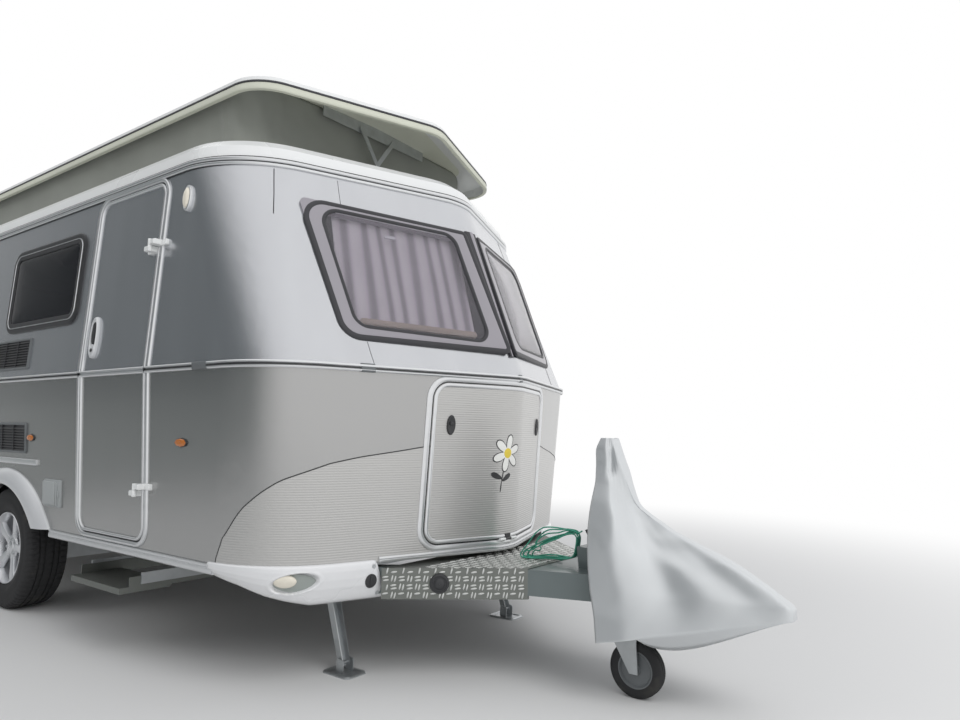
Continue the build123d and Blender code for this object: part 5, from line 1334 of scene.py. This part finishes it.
def buildSideFittings():
    # The inlet's housing, the reflectors, the awning lamp and the strip over the arch
    x, z = bodyFront - 1.968, 0.618
    # Columns: from and to along the caravan, half height, corner radius, rows
    housing = [plate(onRight, boxAt(x + start, x + stop, z - half, z + half), radius, rows)
               for start, stop, half, radius, rows in (
                   (-0.0865, 0.0865, 0.064, 0.008,
                    ((0, -0.001), (0, 0.006), (0.002, 0.0085), (0.006, 0.009))),
                   (-0.078, 0.046, 0.056, 0.008,
                    ((0, 0.006), (0, 0.015), (0.003, 0.0185), (0.01, 0.0198), (0.04, 0.02))),
                   (0.05, 0.062, 0.056, 0.003, ((0, 0.006), (0, 0.014), (0.003, 0.016))),
                   (0.066, 0.08, 0.014, 0.004, ((0, 0.006), (0, 0.013), (0.003, 0.015))))]
    makePiece("inletHousing", *joinParts(housing), "inletGrey", sharp=40)
    lenses, mounts = [], []
    mountLevels = ((1, -0.001), (1, 0.0045), (0.96, 0.006), (0.9, 0.006))
    lensLevels = ((1, 0.004), (1, 0.0065), (0.8, 0.0098), (0.42, 0.0112), (0.05, 0.0104))
    for side in (rightSide, leftSide):
        for setback, height in ((0.87, 0.88), (2.228, 0.874)):
            middle = (bodyFront - setback, height)
            mounts.append(oval(onWall(side), middle, (0.043, 0.018), mountLevels, 8))
            lenses.append(oval(onWall(side), middle, (0.039, 0.016), lensLevels, 8))
    lens = makePiece("sideReflectors", *joinParts(lenses), "amberLens", sharp=12)
    makePiece("reflectorMounts", *joinParts(mounts), "blackPlastic", sharp=30)
    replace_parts(lens, "reflectors")
    middle = (bodyFront - 0.963, 1.869)
    shell = ((1, -0.001), (1, 0.008), (0.95, 0.012), (0.84, 0.0135), (0.78, 0.011), (0.1, 0.0105))
    lamp = makePiece("awningLamp", *oval(onRight, middle, (0.026, 0.055), shell, 56), "railAlu", sharp=40)
    glow = ((1, 0.009), (1, 0.0125), (0.9, 0.018), (0.6, 0.0225), (0.05, 0.0238))
    makePiece("awningLens", *oval(onRight, middle, (0.02, 0.044), glow, 56), "creamLens", sharp=40)
    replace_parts(lamp, "awning_lamp")
    # The aluminium strip lies in line with the lower vent's edge
    above = boxAt(bodyFront - 2.864, bodyFront - 2.144, 0.74, 0.768)
    makePiece("archStrip",
              *plate(onRight, above, 0.004, ((0, -0.001), (0, 0.007), (0.003, 0.01), (0.008, 0.0105))),
              "railAlu", sharp=40)


def arcOutline(half, top, count):
    # Points of a circle through both ends at the sill and the top, from the rear foot to the front one
    rise = top - sillHeight
    radius = (half**2 + rise**2) / (2 * rise)
    reach = math.asin(half / radius)
    a = np.linspace(-reach, reach, count)
    return np.stack((bodyFront - axleSetback + radius * np.sin(a), top - radius + radius * np.cos(a)), -1)


def buildFlares():
    # From the wall the flare swells out, then turns in at the lip. Columns: share across, how far out
    share, out = np.array(((0.0, -0.001), (0.0, 0.004), (0.05, 0.0095), (0.16, 0.019), (0.32, 0.03),
                           (0.5, 0.038), (0.68, 0.0425), (0.84, 0.044), (0.94, 0.0425), (1.0, 0.037),
                           (1.0, 0.01), (0.98, 0.001), (0.8, -0.001))).T[:, None]
    outer, inner = arcOutline(0.51, 0.715, 72), arcOutline(0.387, 0.636, 72)
    line = outer[:, None] * (1 - share[..., None]) + inner[:, None] * share[..., None]
    z = np.maximum(line[..., 1], sillHeight + 0.0005)
    parts = [capped(wallAt(line[..., 0], z, out, side)) for side in (rightSide, leftSide)]
    flare = makePiece("archFlares", *joinParts(parts), "silverGel", sharp=50)
    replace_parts(flare, "arch_flares")


def buildSills():
    # Sill rails: a light bead on top, a hollow and a deeper round below
    profile = roundedProfile([(-0.02, -0.034), (0.004, -0.034), (0.0085, -0.029), (0.0085, -0.012),
                              (0.0045, -0.0095), (0.0045, -0.0075), (0.008, -0.006), (0.008, 0.002),
                              (0.004, 0.0035), (-0.003, 0.0035), (-0.003, -0.002), (-0.02, -0.002)], 0.0012)
    parts = []
    for side in (rightSide, leftSide):
        for start, stop in ((0.655, 1.994), (3.016, 4.224)):
            x = np.array((bodyFront - start, bodyFront - stop))[:, None]
            y, z = side * (sillRing[1] + profile[None, :, 0]), sillHeight + profile[None, :, 1]
            parts.append(capped(np.stack(np.broadcast_arrays(x, y, z), -1)))
    sill = makePiece("sillRails", *joinParts(parts), "railAlu", sharp=50)
    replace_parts(sill, "sill_rails")
    # Two light beads along the nose's lower edge, from bumper to bumper
    beads = roundedProfile([(-0.001, 0.0), (0.0075, 0.0), (0.009, 0.0095), (0.0035, 0.0105), (0.0035, 0.0115),
                            (0.0085, 0.0125), (0.007, 0.0205), (-0.001, 0.0205)], 0.0012)
    t = np.linspace(0.0, 1.735, 90)[:, None]
    right, left = (skin(t, sillHeight + 0.002 + beads[None, :, 1], beads[None, :, 0], side)
                   for side in (rightSide, leftSide))
    makePiece("noseTrim", *capped(np.concatenate((right[::-1], left[1:]))), "railAlu", sharp=50)


buildLid()
buildDoor()
buildVents()
buildSideFittings()
buildFlares()
buildSills()
print("lid, door and side fittings are in place")


# Bumpers
bumper = {
    "top": 0.456,
    "skin": 0.004,
    "recess": (2.279, 0.394),
    "recessHalf": (0.175, 0.036),
    "recessDepth": 0.017,
}


def sillT(setback):
    # The sill outline's t on the side wall, for a distance behind the body's nose
    wallStart = ringPoints(sillRing, np.array(3.0))[0]
    return 3 + (wallStart - (bodyFront - setback)) / (wallStart - middleX)


def bumperPoint(t, z, push, side=rightSide, end=1):
    # Points of the sill's outline moved out by the section's own bulge and by push
    t, z, push = np.broadcast_arrays(*(np.asarray(v, float) for v in (t, z, push)))
    p = ringPoints(sillRing, t)
    d = ringPoints(sillRing, t + 0.001) - ringPoints(sillRing, t - 0.001)
    d /= np.linalg.norm(d, axis=-1, keepdims=True)
    flat = p + np.stack((d[..., 1], -d[..., 0]), -1) * push[..., None]
    x = flat[..., 0] if end > 0 else 2 * middleX - flat[..., 0]
    return np.stack((x, flat[..., 1] * side, z), -1)


def bumperBulge(v):
    # Out from the body for v from 0 at the top edge to 1 at the lower one
    return np.interp(v, (0, 0.03, 0.08, 0.2, 0.4, 0.6, 0.8, 0.9, 0.96, 1.0),
                     (0.002, 0.0085, 0.0115, 0.0125, 0.0105, 0.0055, -0.0045, -0.011, -0.018, -0.03))


def bumperLow(t):
    # Height of the lower edge, which rises round the corner
    return np.interp(t, (1.68, 2.16, 2.343, 2.51, 2.721, 3.0, 3.1),
                     (0.31, 0.31, 0.326, 0.345, 0.378, 0.406, 0.41))


def buildBumpers():
    skins, wells, lenses, plugs, screws = [], [], [], [], []
    top, thick = bumper["top"], bumper["skin"]
    v = np.linspace(0, 1, 40)[:, None]
    v = v + 0.12 * np.sin(2 * math.pi * v) / (2 * math.pi)
    s = np.linspace(0, 1, 150)[None, :]
    t = (1.753 - 0.07 * v) * (1 - s) + sillT(0.66) * s
    z = top + (bumperLow(t) - top) * v
    out = bumperBulge(v) * np.ones_like(t)
    out += np.interp(s, (0, 0.012, 0.03), (-0.006, -0.0012, 0.0)) + np.interp(s, (0.985, 1.0), (0.0, -0.003))
    # The lamp's recess has a soft wall and a slight lip
    (t0, z0), (a, b) = bumper["recess"], bumper["recessHalf"]
    reach = np.hypot((t - t0) / a, (z - z0 + 0.01 * (t - t0) / a) / b)
    wall = np.clip((1.0 - reach) / 0.16, 0, 1)
    lip = 0.0016 * np.exp(-((reach - 1.07) / 0.06) ** 2)
    out = out - bumper["recessDepth"] * wall**2 * (3 - 2 * wall) + lip
    wellLevels = ((1, -0.0185), (1, -0.0125), (0.92, -0.0142), (0.75, -0.0145), (0.55, -0.0145),
                  (0.35, -0.0145), (0.1, -0.0145))
    lensLevels = ((1, -0.016), (1, -0.006), (0.93, -0.003), (0.7, -0.0005), (0.05, 0.0005))
    plugLevels = ((1, -0.002), (1, 0.0025), (0.92, 0.0038), (0.86, 0.0022), (0.5, 0.0026), (0.05, 0.0026))
    screwLevels = ((1, -0.002), (1, 0.0016), (0.75, 0.0026), (0.3, 0.0016), (0.05, 0.0014))
    for side in (rightSide, leftSide):
        def place(u, w, push, side=side):
            return bumperPoint(u, w, bumperBulge((top - w) / (top - bumperLow(u))) + push, side)

        skins.append(slab(bumperPoint(t, z, out, side), bumperPoint(t, z, out - thick, side)))
        wells.append(oval(place, (t0, z0), (a * 0.9, b * 0.88), wellLevels, 56))
        lenses.append(oval(place, (2.347, 0.401), (0.082, 0.0225), lensLevels))
        plugs.append(oval(place, (1.783, 0.381), (0.034, 0.0265), plugLevels))
        plugs.append(plate(place, boxAt(1.777, 1.789, 0.363, 0.399), 0.004,
                           ((0, 0.001), (0, 0.0052), (0.002, 0.0062))))
        for spot in ((1.77, 0.435), (1.735, 0.333)):
            screws.append(oval(place, spot, (0.0105, 0.008), screwLevels, 24))
    # Across the rear, over the body's own outline
    rearT = sillT(0.7)
    s = np.linspace(-1, 1, 241)[None, :]
    t = np.abs(s) * rearT
    v = np.linspace(0, 1, 26)[:, None]
    low = np.interp(t, (0, 2.5, 2.9, rearT), (0.31, 0.31, 0.36, 0.404))
    z = top + (low - top) * v
    rear = [bumperPoint(t, z, bumperBulge(v) - depth, 1, -1) for depth in (0, thick)]
    for grid in rear:
        grid[..., 1] *= np.where(s < 0, -1, 1)
    piece = makePiece("bumperSkins", *joinParts(skins + [slab(*rear)]), "bumperWhite", sharp=60)
    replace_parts(piece, "bumpers")
    for name, parts, finish in (("bumperWells", wells, "wellGreen"), ("bumperLenses", lenses, "creamLens"),
                                ("bumperPlugs", plugs, "blackPlastic"), ("bumperScrews", screws, "zinc")):
        makePiece(name, *joinParts(parts), finish, sharp=40)


# Chequer plate: pairs of raised bars, turned from one cell to the next
chequer = {
    "cell": 0.03,
    "length": 0.0245,
    "width": 0.0078,
    "gap": 0.0118,
    "height": 0.0016,
}


def barPattern(origin, across, up, inside, size):
    # Bars on a plane: origin, two directions, a test of the centre's two coordinates and the plane's size
    normal = np.cross(across, up)
    a = np.linspace(0, 2 * math.pi, 10, endpoint=False)
    loops = []
    for k, height in ((1.0, -0.0004), (0.92, 0.55 * chequer["height"]), (0.6, chequer["height"])):
        u = np.cos(a) * 0.5 * chequer["length"] * (k * 0.15 + 0.85)
        w = np.sign(np.sin(a)) * np.abs(np.sin(a)) ** 0.8 * 0.5 * chequer["width"] * k
        loops.append(np.stack((u, w, np.full(10, height)), -1))
    base, baseFaces = capped(loops)
    cell = chequer["cell"]
    count = [int(s / cell) + 1 for s in size]
    parts = []
    for i in range(count[0]):
        for j in range(count[1]):
            angle = math.radians(78 if (i + j) % 2 else 8)
            for offset in (-0.5, 0.5):
                cu = (i + 0.5) * cell - math.sin(angle) * offset * chequer["gap"]
                cw = (j + 0.5) * cell + math.cos(angle) * offset * chequer["gap"]
                if not inside(cu, cw):
                    continue
                u = cu + base[:, 0] * math.cos(angle) - base[:, 1] * math.sin(angle)
                w = cw + base[:, 0] * math.sin(angle) + base[:, 1] * math.cos(angle)
                points = origin + u[:, None] * across + w[:, None] * up + base[:, 2:] * normal
                parts.append((points, baseFaces))
    return parts


def buildTray():
    # The frame's tray: a flat top that narrows forward and two sides that hang from it
    top, low = 0.427, 0.314
    frontX, rearX, frontHalf, rearHalf = bodyFront + 0.19, bodyFront - 0.23, 0.225, 0.58
    barsFrom = rearX + 0.1
    margin = 0.013

    def onTop(u, w):
        x, y = barsFrom + u, -rearHalf + w
        half = rearHalf + (frontHalf - rearHalf) * (x - rearX) / (frontX - rearX)
        return x < frontX - margin and abs(y) < half - 1.2 * margin

    parts = barPattern(np.array((barsFrom, -rearHalf, top)), np.array((1.0, 0, 0)), np.array((0, 1.0, 0)),
                       onTop, (frontX - rearX - 0.1, 2 * rearHalf))
    capProfile = [(0.0008, -0.001), (0.037, -0.001), (0.037, 0.006), (0.034, 0.0105), (0.029, 0.0115),
                  (0.027, 0.0085), (0.022, 0.008), (0.018, 0.013), (0.012, 0.015), (0.0008, 0.0155)]
    caps = []
    for side in (rightSide, leftSide):
        rear, front = np.array((rearX, side * rearHalf, low)), np.array((frontX, side * frontHalf, low))
        length = float(np.linalg.norm(front - rear))
        start, run = (rear, (front - rear) / length) if side < 0 else (front, (rear - front) / length)

        def onSide(u, w):
            return margin < u < length - margin and margin * 0.9 < w < top - low - margin * 0.7

        parts += barPattern(start, run, np.array((0, 0, 1.0)), onSide, (length, top - low))
        spot = rear + (front - rear) * 0.394 + (0, 0, 0.372 - low)
        caps.append(lathe(capProfile, spot, np.cross(run, (0, 0, 1.0)), 48))
    makePiece("chequerBars", *joinParts(parts), "plateBars", sharp=60)
    makePiece("trayCaps", *joinParts(caps), "blackPlastic", sharp=40)


buildBumpers()
buildTray()
print("bumpers and chequer plate are in place")


# Wheels
def treadRadius(r, across, angle):
    # Blocks: notches across the shoulders and short cuts in the ribs between the grooves
    cut = np.zeros(np.broadcast(r, across, angle).shape)
    shoulder = np.abs(across) > 0.052
    tread = r > 0.29
    pitch = np.mod(angle * 66 / (2 * math.pi) + 0.35 * np.sign(across), 1.0)
    cut = np.where(tread & shoulder & (pitch < 0.22), 0.0045, cut)
    cut = np.where(tread & ~shoulder & (np.mod(pitch + across * 9, 1.0) < 0.14), 0.0035, cut)
    return r - cut


wheelPlace = {
    "axleX": bodyFront - axleSetback,
    "axleZ": 0.305,
    "middleY": 0.92,
    "spokes": 5,
    "firstSpoke": 0.3,
}


def spokeDirection(k):
    turn = 2 * math.pi * k / wheelPlace["spokes"] + wheelPlace["firstSpoke"]
    return np.array((math.sin(turn), 0, math.cos(turn))), np.array((math.cos(turn), 0, -math.sin(turn)))


def buildWheels():
    # Profiles' columns: distance from the axle, distance from the wheel's middle plane
    profile = np.array(mirrored([
        (0.183, 0.084), (0.187, 0.089), (0.196, 0.092), (0.21, 0.0955), (0.212, 0.0965), (0.22, 0.0972),
        (0.238, 0.0974), (0.24, 0.0966), (0.26, 0.0966), (0.28, 0.095), (0.292, 0.09), (0.299, 0.082),
        (0.302, 0.074), (0.3035, 0.066), (0.3042, 0.056), (0.3044, 0.049), (0.2975, 0.048), (0.2975, 0.041),
        (0.3046, 0.04), (0.3049, 0.024), (0.298, 0.023), (0.298, 0.016), (0.305, 0.015), (0.305, 0.006)]))
    barrel = [(0.1815, -0.084), (0.1815, 0.0855), (0.179, 0.0885), (0.1755, 0.0875), (0.173, 0.08),
              (0.166, 0.07), (0.156, 0.03), (0.158, -0.05), (0.166, -0.075), (0.174, -0.084)]
    hub = [(0.0008, 0.03), (0.058, 0.03), (0.062, 0.034), (0.062, 0.052), (0.055, 0.06), (0.034, 0.062),
           (0.032, 0.066), (0.026, 0.068), (0.0008, 0.069)]
    drum = [(0.021, -0.088), (0.112, -0.088), (0.115, -0.085), (0.115, -0.034), (0.108, -0.028),
            (0.06, -0.026), (0.056, 0.032), (0.021, 0.032)]
    bolt = [(0.0008, 0.055), (0.0085, 0.055), (0.0085, 0.0655), (0.007, 0.0675), (0.0008, 0.0675)]
    # Spokes widen towards the rim and dish inward at the hub. Columns: distance, half width, face
    spoke = ((0.02, 0.026, 0.06), (0.048, 0.025, 0.06), (0.072, 0.0225, 0.0625), (0.1, 0.0225, 0.066),
             (0.13, 0.026, 0.069), (0.152, 0.031, 0.07), (0.172, 0.041, 0.072))
    a = np.linspace(0, 2 * math.pi, 396, endpoint=False)[:, None]
    axleX, axleZ, middleY = wheelPlace["axleX"], wheelPlace["axleZ"], wheelPlace["middleY"]
    r = treadRadius(profile[None, :, 0], profile[None, :, 1], a)
    for side, tag in ((rightSide, "right"), (leftSide, "left")):
        y = side * (middleY + profile[None, :, 1])
        loops = np.stack(np.broadcast_arrays(axleX + r * np.sin(a), y, axleZ + r * np.cos(a)), -1)
        tyre = makePiece("tyre" + tag.title(), *ringBand(loops), "rubber", body="wheel_" + tag, sharp=38)
        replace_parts(tyre, "tyre_" + tag)
        centre, axis = np.array((axleX, side * middleY, axleZ)), np.array((0, side, 0))
        parts = [lathe(barrel, centre, axis, 96)]
        for k in range(wheelPlace["spokes"]):
            radial, cross = spokeDirection(k)
            loops = []
            for d, w, f in spoke:
                section = roundLoop([(-w, f - 0.026), (w, f - 0.026), (w * 0.8, f), (-w * 0.8, f)], 0.005,
                                    arc=4)
                loops.append(centre + d * radial + section[:, :1] * cross + section[:, 1:] * axis)
            parts.append(capped(loops))
        parts.append(lathe(hub, centre, axis, 64))
        wheel = makePiece("wheel" + tag.title(), *joinParts(parts), "alloySilver", body="wheel_" + tag,
                          sharp=35)
        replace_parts(wheel, "wheel_" + tag)
        parts = [lathe(drum, centre, axis, 64)]
        for k in range(wheelPlace["spokes"]):
            parts.append(lathe(bolt, centre + 0.046 * spokeDirection(k + 0.5)[0], axis, 6))
        makePiece("drum" + tag.title(), *joinParts(parts), "zinc", body="wheel_" + tag, sharp=35)


def buildJockeyWheel():
    # Ribbed rubber tyre on a plastic hub
    centre, axis = (bodyFront + 0.56, -0.064, 0.1), (0, 1, 0)
    tyre = mirrored([(0.066, 0.022), (0.08, 0.0255), (0.094, 0.0235), (0.099, 0.018), (0.1, 0.01),
                     (0.097, 0.0085), (0.097, 0.0055), (0.1, 0.004)])
    small = makePiece("jockeyTyre", *lathe(tyre, centre, axis, 72), "rubber", body="jockey_wheel", sharp=40)
    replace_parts(small, "jockey_wheel")
    hub = mirrored([(0.0075, 0.026), (0.018, 0.026), (0.02, 0.014), (0.056, 0.012), (0.062, 0.022),
                    (0.067, 0.022)])
    makePiece("jockeyHub", *lathe(hub, centre, axis, 48), "ventGrey", body="jockey_wheel", sharp=40)


def buildSteadies():
    # Legs as channels open to the front, pinned at the top, with a crimped shoe over a pressed foot
    section = np.array(((-0.022, -0.014), (0.022, -0.014), (0.022, 0.016), (0.0195, 0.018), (0.0185, 0.016),
                        (0.0185, -0.0105), (-0.0185, -0.0105), (-0.0185, 0.016), (-0.0195, 0.018),
                        (-0.022, 0.016)))
    footRows = ((0, 0.0), (0, 0.004), (0.004, 0.008), (0.014, 0.0085), (0.018, 0.0045), (0.022, 0.0045))
    across = np.array((0, 1.0, 0))
    for tag, side, end in fourEnds:
        body = "steady_" + ("front_" if end > 0 else "rear_") + ("right" if side < 0 else "left")
        topX = bodyFront - 0.56 if end > 0 else bodyRear + 0.56
        footX, y = topX + end * 0.119, side * 0.553
        top, foot = np.array((topX, y, 0.4)), np.array((footX, y, 0.026))
        run = (foot - top) / np.linalg.norm(foot - top)
        out = np.array((-run[2], 0, run[0]))
        loops = []
        for share, narrow in ((0.0, 1.0), (0.03, 1.0), (0.5, 1.0), (0.9, 0.92), (1.0, 0.85)):
            centre = top + (foot - top) * share
            loops.append(centre + section[:, :1] * narrow * across + section[:, 1:] * narrow * out)
        leg = makePiece("steadyLeg" + tag, *capped(loops), "zinc", body=body, sharp=35)
        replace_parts(leg, body)
        cheek = ((footX - 0.02, 0.0045), (footX + 0.02, 0.0045), (footX + 0.022, 0.052),
                 (footX - 0.016, 0.06))
        shoe = []
        for way in (-1, 1):
            shoe.append(plate(lambda u, w, out: np.stack((u, y + way * 0.0245 + way * out, w), -1), cheek,
                              0.006, ((0, 0.0), (0, 0.003))))
        shoe.append(crossPin(footX, y, 0.04, 0.03, 0.005, 14))
        shoe.append(crossPin(topX, y, 0.385, 0.0245, 0.0095, 18))
        makePiece("steadyShoe" + tag, *joinParts(shoe), "zinc", body=body, sharp=35)
        pan = plate(lambda u, w, out: np.stack((u, w, out), -1),
                    boxAt(footX - 0.075, footX + 0.075, y - 0.055, y + 0.055), 0.022, footRows)
        makePiece("steadyFoot" + tag, *pan, "zinc", body=body, sharp=35)


buildWheels()
buildJockeyWheel()
buildSteadies()
print("wheels and steadies are in place")


# A flower on the locker flap: white petals edged in black, a yellow heart and a stem with two leaves
def buildDecal():
    def place(u, w, out):
        return nose(u, w, np.asarray(out) + 0.0008 + ribs["depth"])

    def petal(centre, angle, length, width, low, high):
        a = np.linspace(0, 2 * math.pi, 28, endpoint=False)
        u, w = length * (0.5 + 0.5 * np.cos(a)), width * np.sin(a) * (0.75 + 0.25 * np.cos(a))
        c, s = math.cos(angle), math.sin(angle)
        loops = []
        for k, out in ((1.0, low), (1.0, high), (0.8, high), (0.6, high), (0.4, high), (0.2, high),
                       (0.05, high)):
            x, y = length / 2 + (u - length / 2) * k, w * k
            loops.append(place(centre[0] + x * c - y * s, centre[1] + x * s + y * c, np.full(28, out)))
        return capped(loops)

    heart = (-0.036, 0.852)
    turns = [math.radians(20 + 60 * k) for k in range(6)]
    leaves = [((-0.06, 0.745), 2.75, 0.06, 0.015), ((-0.058, 0.735), 0.55, 0.055, 0.014)]
    dark = [petal(heart, t, 0.081, 0.0245, -0.0012, 0.0003) for t in turns]
    dark += [petal(c, t, l, w, -0.0012, 0.0003) for c, t, l, w in leaves]
    stem = np.array([(-0.042, 0.835), (-0.052, 0.79), (-0.06, 0.74), (-0.064, 0.695)])
    dark += [petal(a, math.atan2(*(b - a)[::-1]), float(np.hypot(*(b - a))) * 1.15, 0.0035, -0.0012, 0.0003)
             for a, b in zip(stem, stem[1:])]
    makePiece("decalDark", *joinParts(dark), "blackPlastic", body="locker_flap")
    petals = [petal(heart, t, 0.076, 0.02, -0.0008, 0.0006) for t in turns]
    makePiece("decalPetals", *joinParts(petals), "decalWhite", body="locker_flap")
    disc = oval(place, heart, (0.021, 0.021), ((1, -0.0008), (1, 0.001), (0.8, 0.0014), (0.05, 0.0015)), 32)
    makePiece("decalHeart", *disc, "decalYellow", body="locker_flap")


buildDecal()
print("the flap has its flower")
